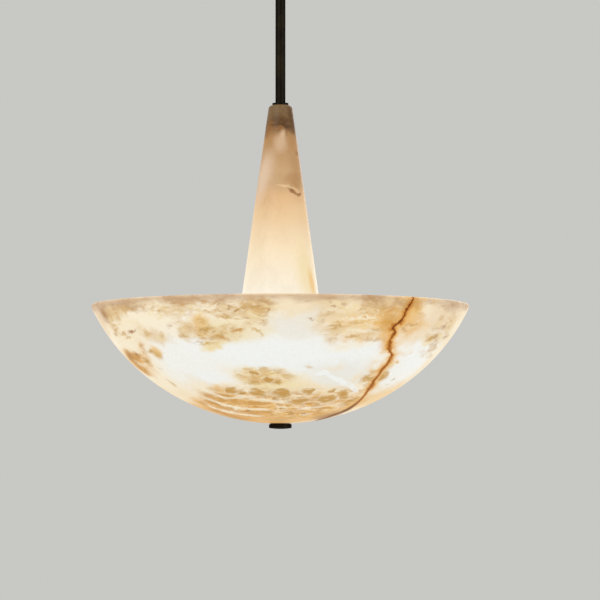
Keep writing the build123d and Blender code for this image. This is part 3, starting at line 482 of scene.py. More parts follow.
# Cells with a pale edge, an ochre ring and a rusty middle: x, y, half width, half height, tilt
BOWL_CELLS = [
    (254.6, 373.6, 6.4, 2.8, 24), (268.7, 379.6, 6.6, 3.2, 10), (230.4, 391.2, 6.4, 4.8, 16),
    (258.5, 392.4, 12.5, 5.0, 8), (281, 393.4, 9.5, 5.4, -8), (307.6, 392.2, 7.0, 4.6, 8),
    (326.6, 399.0, 9.4, 5.6, 4), (343.6, 395.2, 7.6, 6.0, -28), (333.6, 390.4, 4.6, 2.8, -30),
    (300.0, 400.6, 14.0, 3.4, -2),
]
CELL_LAYERS = [(1.0, CREAM, 0.55), (0.80, OCHRE, 0.95), (0.45, RUST, 0.50)]
BOWL_FLAME = [
    (321.5, 373.4, 6.0, 2.0, -12, WHITE, 1.0), (325.5, 372.2, 3.4, 2.4, 40, WHITE, 1.0),
    (330.5, 376.0, 6.4, 2.2, 26, WHITE, 1.0), (338.5, 380.0, 7.4, 2.6, 24, WHITE, 1.0),
    (347, 384.8, 7.4, 3.2, 32, WHITE, 1.0), (354, 389.0, 5.6, 2.4, 36, WHITE, 0.9),
]
BOWL_SPOTS = [
    (104, 313.5, 3.5, 3, 30, BROWN, 0.7), (131, 331.5, 4.4, 1.6, -24, BROWN, 0.9),
    (123, 333.5, 3.4, 1.4, 0, OCHRE, 0.8), (128.5, 337.5, 3, 1.6, -10, OCHRE, 0.8),
    (115.6, 334.7, 1.6, 1.2, 0, BROWN, 0.5), (147, 334, 2.5, 3.4, 20, TAN, 0.8),
    (162, 336, 2.5, 3.5, 20, TAN, 0.8), (170, 326, 3, 1.6, -10, BROWN, 0.4),
    (183, 328.5, 5, 2, -8, TAN, 0.9), (184, 336, 4, 1.6, 0, OCHRE, 0.6),
    (206, 329, 5, 3.2, -26, OCHRE, 0.9), (201, 321, 6, 3.2, 0, OCHRE, 0.5),
    (203.5, 331.5, 4, 1.4, 0, BROWN, 0.6), (141.5, 345.6, 3.4, 2.6, 30, RUST, 0.7),
    (150.7, 351.5, 2.2, 2, 0, OCHRE, 0.9), (137, 355, 2, 1.6, 20, BROWN, 0.7),
    (145.6, 360.5, 3, 2.4, 10, OCHRE, 0.9), (157.5, 355, 4.4, 3, 20, OCHRE, 0.7),
    (131.5, 358.5, 5.6, 2.0, 42, BROWN, 0.9), (135, 361.5, 7, 1.4, 44, RUST, 0.9),
    (142, 369, 7, 2.4, 48, RUST, 0.95), (160, 368.5, 2, 0.9, 20, BROWN, 0.3),
    (238, 330.4, 6.4, 1.5, -5, RUST, 0.9), (223, 337.6, 7.6, 1.5, 20, RUST, 0.7),
    (207, 343.5, 6.5, 1.2, -12, OCHRE, 0.7), (256, 330, 6, 1.1, 36, TAN, 0.9),
    (262, 334, 3, 0.9, 50, TAN, 0.8), (263.6, 325, 3, 1.1, 0, BROWN, 0.25), (265, 301, 6, 1.6, 0, TAN, 0.8),
    (258, 311, 7, 2, -6, TAN, 0.8), (246, 304, 5, 2, 0, TAN, 0.8), (173, 302, 2.5, 1, 0, BROWN, 0.5),
    (182, 303, 7, 1.6, -4, RUST, 0.6), (205, 301.5, 4, 1.2, 0, RUST, 0.5),
    (277, 382.6, 3.4, 2, -10, OCHRE, 0.9), (263.6, 368.5, 4, 1.2, 10, OCHRE, 0.6),
    (252, 383, 8, 1.6, 0, OCHRE, 0.6), (214, 390, 5, 1.6, 0, OCHRE, 0.5),
    (209, 396.4, 9, 2.4, 24, RUST, 0.65), (203, 403.4, 4.4, 1.1, 20, UMBER, 0.7),
    (214, 403.4, 10, 1.2, 25, RUST, 0.8), (230, 409.6, 9, 1.2, 15, RUST, 0.8),
    (250, 412.4, 12, 1.2, 4, RUST, 0.7), (201, 403.8, 9, 1.8, 27, AMBER, 0.9),
    (221, 413, 12, 1.8, 20, RUST, 0.85), (238, 418.6, 12, 2.0, 12, RUST, 0.9),
    (256, 422, 12, 1.8, 4, AMBER, 0.9), (276, 420, 10, 1.8, 0, OCHRE, 0.6),
    (300, 403.6, 13, 1.2, -2, RUST, 0.6), (291, 410, 6.4, 1.4, 2, RUST, 0.5),
    (322, 409.5, 6, 1.2, -6, OCHRE, 0.6), (346, 403, 8, 1.4, -22, OCHRE, 0.6),
    (290, 417.6, 8, 1.2, -10, OCHRE, 0.6), (330, 301.6, 2, 1, 0, BROWN, 0.6),
    (334, 306, 3, 1.2, 0, BROWN, 0.6), (344, 304, 3, 1.4, -10, BROWN, 0.4),
    (342, 308, 4, 1.4, -10, OCHRE, 0.4), (332, 312, 4, 1.2, -4, OCHRE, 0.4),
    (310, 319.2, 3.2, 1.2, 10, BROWN, 0.6), (322, 322, 3, 0.8, 0, BROWN, 0.2),
    (338, 322.4, 4, 1.2, 0, OCHRE, 0.6), (357, 322.6, 8, 1.2, -2, OCHRE, 0.6),
    (378, 330, 8, 1.6, 0, OCHRE, 0.7), (352, 336.8, 7, 1.6, 6, OCHRE, 0.7),
    (371, 339.4, 13, 1.6, 4, OCHRE, 0.5), (392, 311, 8, 3, 0, AMBER, 0.5),
    (410, 325, 9, 0.9, 2, BROWN, 0.6), (404, 329, 3.4, 1, 46, BROWN, 0.5),
    (402, 298.4, 9, 1.4, 0, BROWN, 0.5), (417, 299.4, 5, 1.6, 0, BROWN, 0.6),
    (422, 300, 5, 1.2, 0, AMBER, 0.6), (443.4, 327, 2.2, 2, -20, BROWN, 0.6),
    (436, 336, 3, 1.8, -24, BROWN, 0.6), (429.5, 339.3, 3.6, 1.8, -14, OCHRE, 0.9),
    (445.4, 336.8, 3.4, 1.2, -10, BROWN, 0.5), (434, 345.6, 3, 1.2, -20, BROWN, 0.4),
    (430, 356.6, 2, 2, 0, OCHRE, 0.6), (397.6, 362, 1.8, 1.5, 0, AMBER, 0.9),
    (393.6, 379.4, 1.5, 0.9, 0, BROWN, 0.6), (387, 384.5, 1.6, 0.9, 0, OCHRE, 0.5),
    (367, 378, 3.8, 3.2, 0, OCHRE, 0.95), (371, 371, 3.4, 1.2, -16, AMBER, 0.7),
    (383.6, 376, 4.6, 3, -30, OCHRE, 0.85), (308, 367, 4, 1.6, 20, TAN, 0.6),
    (433, 302, 2.6, 1.2, 0, PINK_TAN, 0.8), (454, 306, 5, 3, 10, PINK_TAN, 0.5),
]
# The crack, from the rim down to the bowl's underside, in pixels of the photograph
CRACK = [
    (413.9, 299.1), (406.3, 310.6), (400.5, 322.7), (396.1, 324.0), (392.2, 327.8), (393.3, 334.8),
    (389.7, 343.8), (390.0, 350.2), (393.5, 354.0), (388.4, 362.9), (382.0, 370.6), (374.4, 380.1),
    (369.3, 388.4), (362.9, 397.3), (355.3, 404.4), (343.8, 411.4), (331.0, 415.8), (317.0, 420.3),
]
CRACK_RANGE_RISE = math.radians(75)
CRACK_RANGE_TURN = math.radians(100)
CRACK_HALF_WIDTH = 0.0014
CRACK_HALO = 0.024
CRACK_STAINS = [
    (394, 313, 11, 8, -20, RUST, 0.2), (391, 323, 9, 9, 0, RUST, 0.4),
    (407, 301.5, 14, 4.5, 0, BROWN, 0.45), (326, 417, 14, 3.6, -18, BROWN, 0.8),
    (338, 413.4, 8, 2.4, -22, BROWN, 0.5), (386, 343, 5, 8, 0, AMBER, 0.5),
]

# The cone, in painted light: lit cream above the rim, through sand and clay, to dusk at its crown in painted
# shade
LIT_CREAM = srgb(251, 242, 223)
LIT_PEACH = srgb(249, 229, 195)
SAND = srgb(237, 202, 156)
DIM_SAND = srgb(226, 184, 136)
DIM_TAN = srgb(203, 166, 123)
PINK_SAND = srgb(210, 177, 143)
BLUSH = srgb(226, 198, 170)
CLAY = srgb(180, 136, 88)
EARTH = srgb(146, 100, 54)
SMOKE = srgb(120, 94, 62)
DUSK = srgb(86, 56, 26)

CONE_STONE_AND_LIGHT_RAMP = [
    (0.06, LIT_CREAM), (0.26, LIT_PEACH), (0.45, SAND), (0.54, DIM_SAND), (0.60, DIM_TAN),
    (0.66, DIM_TAN), (0.82, CLAY), (0.89, DUSK), (1.00, SMOKE),
]
# Marks in the cone's stone, in the same terms as the bowl's
CONE_MARKS = [
    (269, 112, 4.4, 8, 8, SMOKE, 0.8), (282, 110, 6, 5, 0, SMOKE, 0.7), (290, 114, 2.4, 8, -6, DUSK, 0.8),
    (279, 121, 12, 3.4, 0, DUSK, 0.85), (269, 129, 4.4, 9, 8, EARTH, 0.8),
    (281, 128.5, 8, 2.6, 0, EARTH, 0.8), (279, 124.2, 8, 1.3, 2, DUSK, 0.9),
    (287.6, 127.2, 5, 2.8, 38, DUSK, 0.95), (292.4, 131, 3, 2.6, 60, DUSK, 0.8),
    (291, 140, 5, 9, -8, CLAY, 0.7), (270, 142, 5, 9, 8, CLAY, 0.7),
    (280.6, 143, 5.6, 9, 4, PINK_SAND, 0.9), (282.3, 136, 2.4, 6, 8, PINK_SAND, 1.0),
    (297, 153, 1.3, 2.4, 0, EARTH, 0.7), (263, 178, 6, 24, 8, BLUSH, 0.85),
    (297, 170, 6, 18, -8, CLAY, 0.6), (293, 178.6, 8, 5.6, -10, CLAY, 0.75),
    (296, 186, 5, 3.4, 20, CLAY, 0.65), (287, 186.6, 9, 1.2, 9, SAND, 0.85),
    (296.6, 190.6, 3.4, 1.1, 36, DIM_SAND, 0.7), (293.2, 191.8, 6.0, 1.8, 38, EARTH, 0.95),
    (298.4, 194.4, 3.0, 1.8, -18, EARTH, 0.95), (298, 199, 4, 3.4, 30, DIM_SAND, 0.75),
    (301, 212, 4, 10, -8, SAND, 0.5), (307, 276, 8.5, 28, -8, YELLOW, 0.6),
    (312, 283, 2.4, 13, -8, HONEY, 0.85),
]


def mark_frame(cast, x, y, half_width, half_height, tilt):
    """Where a mark of the photograph lies on the stone: its middle, its turn and its radii."""
    middle, normal = cast(x, y)

    def nearer_end(reach, turn):
        """The way to an end of the mark, of the two ends the nearer one on the stone."""
        dx, dy = reach * math.cos(turn), reach * math.sin(turn)
        ahead = cast(x + dx, y + dy)[0] - middle
        back = cast(x - dx, y - dy)[0] - middle
        return -back if back.length < ahead.length else ahead

    along = nearer_end(half_width, math.radians(tilt))
    down = nearer_end(half_height, math.radians(tilt + 90))
    first = (along - normal * along.dot(normal)).normalized()
    second = normal.cross(first)
    spin = Matrix((first, second, normal)).transposed()
    radii = (along.length, max(abs(down.dot(second)), MARK_LEAST_RADIUS), MARK_DEPTH)
    return middle, spin.to_euler(), radii


class Stone(Nodes):
    """A stone's nodes. Layers and placed marks are laid over its colour, one after another."""

    def __init__(self, name, cast):
        super().__init__(name)
        self.cast = cast
        self.colour = None

    def lay(self, layer, cover, *shares):
        """Lays a colour on, as fully as cover times every share."""
        for share in shares:
            cover = self.times(cover, share)
        self.colour = self.mix(cover, self.colour, layer)

    def after(self, place):
        """The same place, worked out only once the colour is: the renderer holds few values at once."""
        wait = self.times(self.put("SeparateColor", {0: self.colour}), NEARLY_NOTHING)
        return self.vector("ADD", place, self.put("CombineXYZ", {2: wait}))

    def inside(self, place, mark, softness, cover):
        """How fully a mark covers a place, with an edge as soft as softness says."""
        middle, turn, radii = mark_frame(self.cast, *mark)
        near = self.ball(place, middle, turn, [radius * (1 + softness) for radius in radii])
        return self.spread(near, 0.0, 2 * softness / (1 + softness), 0.0, cover)

    def draw(self, place, marks, softness):
        """Lays the colour of each mark over the stone."""
        for i, (*mark, layer, cover) in enumerate(marks):
            if i % MARKS_AT_ONCE == 0:
                spot = self.after(place)
            self.lay(layer, self.inside(spot, mark, softness, cover))

    def busy(self, place, patches, softness):
        """How busy the stone is at a place: a patch's strength inside it, and 0 outside them all."""
        most = 0.0
        for *mark, strength in patches:
            most = self.math("MAXIMUM", most, self.inside(place, mark, softness, strength))
        return most

    def finish(self, grain, glow):
        """The polish of the stone, and the light that comes through it, painted on as the stone's own
        emission.
        """
        self.set(
            Base_Color=self.mix(STONE_BASE_SHARE, BLACK, self.colour),
            Emission_Color=self.colour,
            Emission_Strength=glow,
            Roughness=self.spread(grain, 0.2, 0.8, 0.34, 0.50),
            IOR=1.52,
            Specular_IOR_Level=0.15,
        )
        self.bump(self.noise(self.place, 420.0, 4.0), 0.0002, 0.25)
        return self.material


def bowl_angles(point):
    """A point's angle up from the bowl's bottom and its turn from the camera's side."""
    across = math.hypot(point.x, point.y)
    rise = math.atan2(across / BALL_HALF_WIDTH, (BALL_CENTRE_Z - point.z) / BALL_HALF_HEIGHT)
    return rise, math.atan2(point.x, -point.y)


def bowl_places(nodes, place):
    """A place's turn from the camera's side, its angle up from the bottom, and its reach from Z."""
    x, y, z = (nodes.put("SeparateXYZ", {0: place}, out=i) for i in range(3))
    flat = nodes.vector("LENGTH", nodes.vector("MULTIPLY", place, (1.0, 1.0, 0.0)), out="Value")
    depth = nodes.math("SUBTRACT", BALL_CENTRE_Z, z)
    wide = nodes.math("DIVIDE", flat, BALL_HALF_WIDTH)
    rise = nodes.math("ARCTAN2", wide, nodes.math("DIVIDE", depth, BALL_HALF_HEIGHT))
    return nodes.math("ARCTAN2", x, nodes.times(y, -1.0)), rise, flat


def ring_place(nodes, place, stretch):
    """Coordinates in which noise lies in streaks round the bowl, in metres up its side."""
    turn, rise = bowl_places(nodes, place)[:2]
    parts = {
        0: nodes.times(nodes.math("COSINE", turn), BALL_HALF_WIDTH / stretch),
        1: nodes.times(nodes.math("SINE", turn), BALL_HALF_WIDTH / stretch),
        2: nodes.times(rise, BALL_HALF_WIDTH),
    }
    return nodes.put("CombineXYZ", parts)


def crack_distance(nodes, place):
    """How far a place is from the crack, in metres."""
    spots = [bowl_angles(on_bowl(x, y)[0]) for x, y in CRACK]
    spots.reverse()
    turn, rise, flat = bowl_places(nodes, place)
    share = nodes.math("DIVIDE", rise, CRACK_RANGE_RISE)
    path = [(a / CRACK_RANGE_RISE, b / CRACK_RANGE_TURN) for a, b in spots]
    line = nodes.times(nodes.curve(share, path), CRACK_RANGE_TURN)
    # Across a slanting run of the crack, the distance round the bowl is longer than the true one
    lean = []
    for (a0, b0), (a1, b1) in zip(spots, spots[1:]):
        middle = (a0 + a1) / 2
        across = math.sin(middle) * (b1 - b0) / (a1 - a0)
        lean.append((middle / CRACK_RANGE_RISE, 1 / math.hypot(1, across)))
    off = nodes.times(nodes.math("ABSOLUTE", nodes.math("SUBTRACT", turn, line)), flat)
    off = nodes.times(off, nodes.curve(share, lean))
    low_end = nodes.math("MAXIMUM", nodes.math("SUBTRACT", spots[0][0], rise), 0.0)
    return nodes.math("ADD", off, nodes.times(low_end, BALL_HALF_WIDTH))


def bowl_stone():
    """Alabaster of the bowl: placed marks on the photographed side, like ones by noise behind."""
    stone = Stone("bowl_alabaster", on_bowl)
    place = stone.place
    noise, spread, times, mix, lay = stone.noise, stone.spread, stone.times, stone.mix, stone.lay
    warped, draw = stone.warped, stone.draw
    height = stone.put("SeparateXYZ", {0: place}, out=2)
    behind = spread(stone.put("SeparateXYZ", {0: place}, out=1), -0.03, 0.05)
    coarse = warped(warped(place, 14.0, 0.03, 2.0), 70.0, 0.022, 5.0)
    fine = warped(warped(place, 90.0, 0.0070, 2.0), 280.0, 0.0100, 4.0)
    flowing = warped(warped(place, 50.0, 0.018, 2.0), 220.0, 0.0060, 3.0)
    gentle = warped(place, 50.0, 0.0050, 1.0)
    rings = ring_place(stone, warped(place, 34.0, 0.018, 5.0), 3.0)
    cells = ring_place(stone, warped(place, 60.0, 0.016, 3.0), 2.2)

    cloud = noise(coarse, 9.0, 3.0)
    streak = noise(rings, 46.0, 6.0, 0.62)
    flecks = noise(rings, 120.0, 5.0, 0.62)
    dust = noise(rings, 260.0, 4.0, 0.6)
    bands = noise(ring_place(stone, warped(place, 25.0, 0.020, 3.0), 9.0), 130.0, 3.0, 0.6)
    grain = noise(place, 260.0, 5.0, 0.65)

    def drop(start, end, *shares):
        """A smooth step as a place goes from start to end, in metres below the rim."""
        return spread(height, RIM_Z - start, RIM_Z - end, *shares)

    # Ground colours and placed clouds
    stone.colour = mix(spread(cloud, 0.35, 0.65), CREAM, PEACH)
    zone = noise(rings, 9.0, 2.0)
    back = mix(spread(zone, 0.44, 0.52), WHITE, CREAM)
    low = drop(0.085, 0.115)
    lay(mix(times(low, 0.85), back, HONEY), behind)
    draw(coarse, BOWL_ZONES, 0.5)
    draw(coarse, BOWL_CLOUDS, 0.6)

    # Streaks and flecks
    spot = stone.after(coarse)
    busy = stone.busy(spot, BOWL_STREAKY, 0.4)
    busy = stone.math("MAXIMUM", busy, times(behind, spread(zone, 0.49, 0.57)))
    lay(TAN, 0.60, busy, spread(streak, 0.44, 0.56))
    lay(YELLOW, 0.55, busy, spread(flecks, 0.46, 0.38))
    lay(OCHRE, 0.60, busy, spread(streak, 0.47, 0.55), spread(flecks, 0.50, 0.60))
    lay(BROWN, 0.60, busy, spread(streak, 0.46, 0.56), spread(dust, 0.56, 0.66))
    lay(CREAM, 0.55, busy, spread(dust, 0.44, 0.36))

    # Cells and bands round the underside
    busy = stone.busy(spot, BOWL_CELLED, 0.35)
    busy = stone.math("MAXIMUM", busy, times(behind, low))
    grid = {"Vector": stone.after(cells), "Scale": 66.0}
    edge = stone.put("TexVoronoi", grid, feature="DISTANCE_TO_EDGE")
    kind = stone.put("SeparateColor", {0: stone.put("TexVoronoi", grid, out=1)})
    core = spread(edge, 0.06, 0.22)
    lay(AMBER, 0.55, busy, spread(streak, 0.42, 0.56))
    lay(RUST, 0.75, busy, spread(bands, 0.50, 0.57))
    lay(OCHRE, 0.75, busy, core, spread(kind, 0.50, 0.60))
    lay(BROWN, 0.40, busy, core, spread(kind, 0.75, 0.85))
    lay(CREAM, 0.35, busy, spread(edge, 0.06, 0.01), spread(kind, 0.40, 0.55))
    lay(CREAM, 0.60, busy, spread(bands, 0.45, 0.40))
    lay(BROWN, 0.50, busy, spread(dust, 0.56, 0.66), spread(streak, 0.46, 0.54))

    # Placed marks, thinner where the flecks are pale
    plain = stone.colour
    draw(fine, BOWL_PALE_STREAKS, 0.6)
    draw(fine, BOWL_SPOTS, 0.8)
    cell_layers = [
        (x, y, share * half_width, share * half_height, tilt, layer, cover)
        for x, y, half_width, half_height, tilt in BOWL_CELLS
        for share, layer, cover in CELL_LAYERS
    ]
    draw(flowing, cell_layers, 0.3)
    draw(gentle, BOWL_FLAME, 0.35)
    stone.colour = mix(spread(flecks, 0.36, 0.50, 0.45, 1.0), plain, stone.colour)

    # The darker band along the rim, partly the stone's colour and partly painted shade where the rim is less
    # lit, and its pale lip, a painted highlight
    rim = stone.math("ADD", height, times(stone.math("SUBTRACT", streak, 0.5), 0.030))
    right = stone.put("SeparateXYZ", {0: place})
    rim_tone_and_shade = times(spread(rim, RIM_Z - 0.014, RIM_Z - 0.003), spread(right, 0.08, 0.16, 1.0, 0.75))
    lay(PINK_TAN, 0.9, rim_tone_and_shade, spread(flecks, 0.3, 0.6, 1.0, 0.75))
    lay(BROWN, 0.35, rim_tone_and_shade, spread(streak, 0.52, 0.62))
    # The pale lip is a painted highlight along the rim's top edge.
    lay(PINK, 0.6, drop(0.0022, 0.0010), spread(streak, 0.56, 0.46))
    lay(TAN, 0.10, spread(grain, 0.35, 0.75))

    # The crack: its halo, stains, margin and core
    jagged = warped(warped(stone.after(place), 90.0, 0.0110, 2.0), 300.0, 0.0055, 2.0)
    push = stone.vector("SUBTRACT", jagged, place)
    push = stone.vector("MULTIPLY", push, drop(0.09, 0.06, 0.35, 1.0))
    off = crack_distance(stone, stone.vector("ADD", place, push))
    wide = noise(place, 40.0, 3.0)
    halo = times(off, spread(wide, 0.35, 0.65, 1.8, 0.55))
    halo = times(halo, drop(0.12, 0.03, 1.5, 0.8))
    lay(HONEY, spread(halo, CRACK_HALO, 0.0, 0.0, 0.75))
    lay(AMBER, spread(halo, 0.5 * CRACK_HALO, 0.0, 0.0, 0.95))
    draw(coarse, CRACK_STAINS, 0.7)
    line = times(off, spread(wide, 0.3, 0.7, 1.3, 0.55))
    line = times(line, drop(0.130, 0.112, 0.62, 1.2))
    low_end = drop(0.112, 0.126)
    margin = mix(low_end, RUST_DARK, CRACK_CORE)
    lay(margin, spread(line, 3.6 * CRACK_HALF_WIDTH, CRACK_HALF_WIDTH, 0.0, 0.9))
    core = spread(line, 1.15 * CRACK_HALF_WIDTH, 0.5 * CRACK_HALF_WIDTH, 0.0, 0.95)
    depth = mix(drop(0.055, 0.030), CRACK_CORE, CRACK_DARK)
    lay(mix(low_end, depth, CRACK_LOW), core)
    return stone.finish(grain, BOWL_PAINTED_GLOW)


def cone_stone():
    """Alabaster of the cone, with painted light: bright where the lamps shine up into it, brown towards its
    crown in painted shade.
    """
    stone = Stone("cone_alabaster", on_cone)
    place = stone.place
    noise, spread, warped = stone.noise, stone.spread, stone.warped
    coarse = warped(place, 40.0, 0.012, 3.0)
    fine = warped(warped(place, 120.0, 0.004, 3.0), 320.0, 0.004, 3.0)
    grain = noise(place, 260.0, 5.0, 0.65)
    height = stone.put("SeparateXYZ", {0: coarse}, out=2)
    rise = stone.put("MapRange", {"Value": height, "From Min": RIM_Z, "From Max": CONE_HIGH.z})
    # The stone's hues, painted lighter low on the cone where the lamps shine up and darker towards the crown
    # as painted shade
    stone.colour = stone.ramp(rise, CONE_STONE_AND_LIGHT_RAMP)
    veins = noise(stone.vector("MULTIPLY", coarse, (1.0, 1.0, 0.6)), 26.0, 5.0, 0.6)
    stone.lay(EARTH, spread(veins, 0.5, 0.72), spread(rise, 0.35, 0.75, 0.08, 0.4))
    stone.draw(fine, CONE_MARKS, 0.65)
    stone.lay(TAN, spread(grain, 0.35, 0.75, 0.0, 0.08))
    return stone.finish(grain, CONE_PAINTED_GLOW)


def bowl_outline(steps=96):
    """The bowl's section: outside from the hole to the lip, over it, and down the inside."""
    rim = RIM_Z - BALL_CENTRE_Z

    def arc(width, height):
        start = math.asin(BOWL_HOLE_RADIUS / width)
        end = math.acos(-rim / height)
        turns = [start + (end - start) * i / steps for i in range(steps + 1)]
        return [Vector((width * math.sin(t), BALL_CENTRE_Z - height * math.cos(t))) for t in turns]

    outside = arc(BALL_HALF_WIDTH, BALL_HALF_HEIGHT)
    inside = arc(BALL_HALF_WIDTH - BOWL_WALL, BALL_HALF_HEIGHT - BOWL_WALL)
    outer_lip = fillet_points(outside[-3], outside[-1], inside[-1], BOWL_LIP_RADIUS, 8)
    inner_lip = fillet_points(outside[-1], inside[-1], inside[-3], BOWL_LIP_RADIUS, 8)
    outside = [p for p in outside if p.y < outer_lip[0].y - BOWL_LIP_SPACING]
    inside = [p for p in inside if p.y < inner_lip[-1].y - BOWL_LIP_SPACING]
    return outside + outer_lip + inner_lip + inside[::-1]


def cone_outline(steps=60):
    """The cone's section: up the outside, over the shoulder, and down the bore."""
    top, base = CONE_HIGH.z, CONE_LOW.z
    bore_base = CONE_BASE_RADIUS - CONE_WALL_ACROSS
    bore_top = bore_base - CONE_TAPER * (CONE_HEIGHT - CONE_CROWN)
    corners = [
        Vector((CONE_BASE_RADIUS, base)), Vector((CONE_TOP_RADIUS, top)),
        Vector((CONE_HOLE_RADIUS, top)), Vector((CONE_HOLE_RADIUS, top - CONE_CROWN)),
        Vector((bore_top, top - CONE_CROWN)), Vector((bore_base, base)),
    ]
    shoulder = fillet_points(corners[0], corners[1], corners[2], CONE_SHOULDER_RADIUS, 10)
    foot = fillet_points(corners[5], corners[0], corners[1], CONE_FOOT_RADIUS, 3)
    bore_foot = fillet_points(corners[4], corners[5], corners[0], CONE_FOOT_RADIUS, 3)
    side = [foot[-1].lerp(shoulder[0], i / steps) for i in range(1, steps)]
    return foot + side + shoulder + corners[2:5] + bore_foot


def make_stone():
    bowl = turned("bowl_stone", bowl_outline(), BOWL_SEGMENTS, bowl_stone())
    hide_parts("alabaster_bowl")
    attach(bowl, "bowl")
    cone = turned("cone_stone", cone_outline(), CONE_SEGMENTS, cone_stone())
    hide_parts("alabaster_cone")
    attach(cone, "stem")


make_stone()

# ---- Metal, rubber, mouldings and glass ----

METAL_TINT = (0.9, 0.9, 0.9, 1.0)
BRONZE_BLACK = srgb(24, 21, 16)
BRONZE_BROWN = srgb(38, 32, 22)
BRONZE_WORN = srgb(70, 54, 34)
GLOBE_BRIGHT = srgb(255, 247, 230)
GLOBE_DIM = srgb(246, 226, 192)
PIPE_PITCH = 0.001
WAVE_UNIT = 2 * math.pi / 20


def metal(name, colour, stain, roughness, brushing=(1.0, 1.0, 1.0), pitch=0.0):
    """A metal finish, stained, brushed and finely pitted, and threaded where a pitch is given."""
    nodes = Nodes(name)
    place = nodes.place
    cloud = nodes.noise(place, 38.0, 5.0, 0.6)
    lines = nodes.noise(nodes.vector("MULTIPLY", place, brushing), 900.0, 3.0, 0.7)
    pits = nodes.noise(place, 1500.0, 3.0, 0.6)
    shade = nodes.mix(nodes.spread(cloud, 0.42, 0.72), colour, stain)
    shade = nodes.mix(nodes.spread(lines, 0.35, 0.75, 0.0, 0.22), shade, stain)
    nodes.set(
        Base_Color=shade,
        Metallic=1.0,
        Roughness=nodes.math("ADD", nodes.spread(lines, 0.3, 0.7, -0.06, 0.08), roughness),
        Specular_Tint=METAL_TINT,
    )
    height = nodes.math("ADD", nodes.times(lines, 0.5), nodes.times(pits, 0.5))
    reach = 0.00003
    if pitch:
        wave = {"Vector": place, "Scale": WAVE_UNIT / pitch, "Distortion": 0.0}
        thread = nodes.put("TexWave", wave, out=1, bands_direction="Z")
        height = nodes.math("ADD", nodes.times(height, 0.1), thread)
        reach = 0.00025
    nodes.bump(height, reach, 0.5)
    return nodes.material


def bronze():
    """Oil-rubbed bronze: nearly black, with brown showing through where hands have worn it."""
    nodes = Nodes("dark_bronze")
    place = nodes.place
    cloud = nodes.noise(place, 30.0, 6.0, 0.65)
    speckle = nodes.noise(place, 700.0, 4.0, 0.7)
    shade = nodes.mix(nodes.spread(cloud, 0.45, 0.70), BRONZE_BLACK, BRONZE_BROWN)
    shade = nodes.mix(nodes.spread(speckle, 0.58, 0.72, 0.0, 0.6), shade, BRONZE_WORN)
    nodes.set(
        Base_Color=shade,
        Metallic=0.85,
        Roughness=nodes.spread(cloud, 0.3, 0.7, 0.34, 0.48),
        Specular_Tint=(0.34, 0.30, 0.25, 1.0),
        Specular_IOR_Level=0.35,
    )
    nodes.bump(speckle, 0.00004, 0.5)
    return nodes.material


def moulded(name, colour, stain, roughness, scale=1400.0, reach=0.00003):
    """A moulded plastic or rubber: faint flow marks and a fine sparked grain."""
    nodes = Nodes(name)
    place = nodes.place
    flow = nodes.noise(nodes.vector("MULTIPLY", place, (1.0, 1.0, 2.5)), 45.0, 4.0, 0.55)
    grain = nodes.noise(place, scale, 3.0, 0.6)
    shade = nodes.mix(nodes.spread(flow, 0.4, 0.7, 0.0, 0.7), colour, stain)
    nodes.set(
        Base_Color=nodes.mix(nodes.spread(grain, 0.5, 0.8, 0.0, 0.4), shade, stain),
        Roughness=nodes.math("ADD", nodes.spread(grain, 0.3, 0.7, -0.06, 0.08), roughness),
    )
    nodes.bump(grain, reach, 0.6)
    return nodes.material


def opal():
    """Opal glass with the light on inside: a touch warmer and dimmer towards the collar."""
    nodes = Nodes("opal_glass")
    place = nodes.place
    flat = nodes.vector("LENGTH", nodes.vector("MULTIPLY", place, (1.0, 1.0, 0.0)), out="Value")
    haze = nodes.noise(place, 60.0, 4.0, 0.5)
    glow = nodes.mix(nodes.spread(flat, COLLAR_HIGH.x, COLLAR_HIGH.x + 0.022), GLOBE_DIM, GLOBE_BRIGHT)
    glow = nodes.mix(nodes.spread(haze, 0.4, 0.7, 0.0, 0.25), glow, GLOBE_DIM)
    nodes.set(
        Base_Color=nodes.mix(0.2, BLACK, glow),
        Emission_Color=glow,
        Emission_Strength=0.8,
        Roughness=nodes.spread(haze, 0.3, 0.7, 0.16, 0.24),
        IOR=1.5,
    )
    nodes.bump(haze, 0.00005, 0.3)
    return nodes.material


UP_BRUSHED = (1.0, 1.0, 0.04)
FLAT_BRUSHED = (0.04, 1.0, 1.0)
BRONZE = bronze()
ZINC = metal("zinc_steel", srgb(196, 199, 201), srgb(168, 170, 168), 0.30, FLAT_BRUSHED)
TUBE_STEEL = metal("zinc_tube", srgb(196, 199, 201), srgb(168, 170, 168), 0.28, UP_BRUSHED)
BRASS = metal("turned_brass", srgb(214, 178, 104), srgb(176, 136, 70), 0.26, (1.0, 1.0, 6.0))
PIPE_BRASS = metal("threaded_brass", srgb(206, 170, 98), srgb(168, 128, 66), 0.32, pitch=PIPE_PITCH)
SHELL_BRASS = metal("shell_brass", srgb(222, 186, 112), srgb(190, 150, 82), 0.22)
NICKEL = metal("nickel_cap", srgb(206, 203, 196), srgb(176, 172, 162), 0.20)
RUBBER = moulded("black_rubber", srgb(34, 34, 34), srgb(46, 45, 44), 0.72, 900.0, 0.00005)
BLACK_MOULDING = moulded("black_thermoset", srgb(30, 30, 30), srgb(40, 39, 38), 0.34)
WHITE_MOULDING = moulded("white_moulding", srgb(232, 231, 226), srgb(218, 215, 206), 0.42)
IVORY_COLLAR = moulded("lamp_collar_moulding", srgb(240, 236, 226), srgb(228, 220, 204), 0.36)
OPAL = opal()


def dress(material, slot, *names):
    """Gives carried-over CAD nodes their finish."""
    for name in names:
        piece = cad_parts[name]
        piece.data.materials.clear()
        piece.data.materials.append(material)


def numbered(name):
    return [f"{name}_{number}" for number in range(1, LAMP_COUNT + 1)]


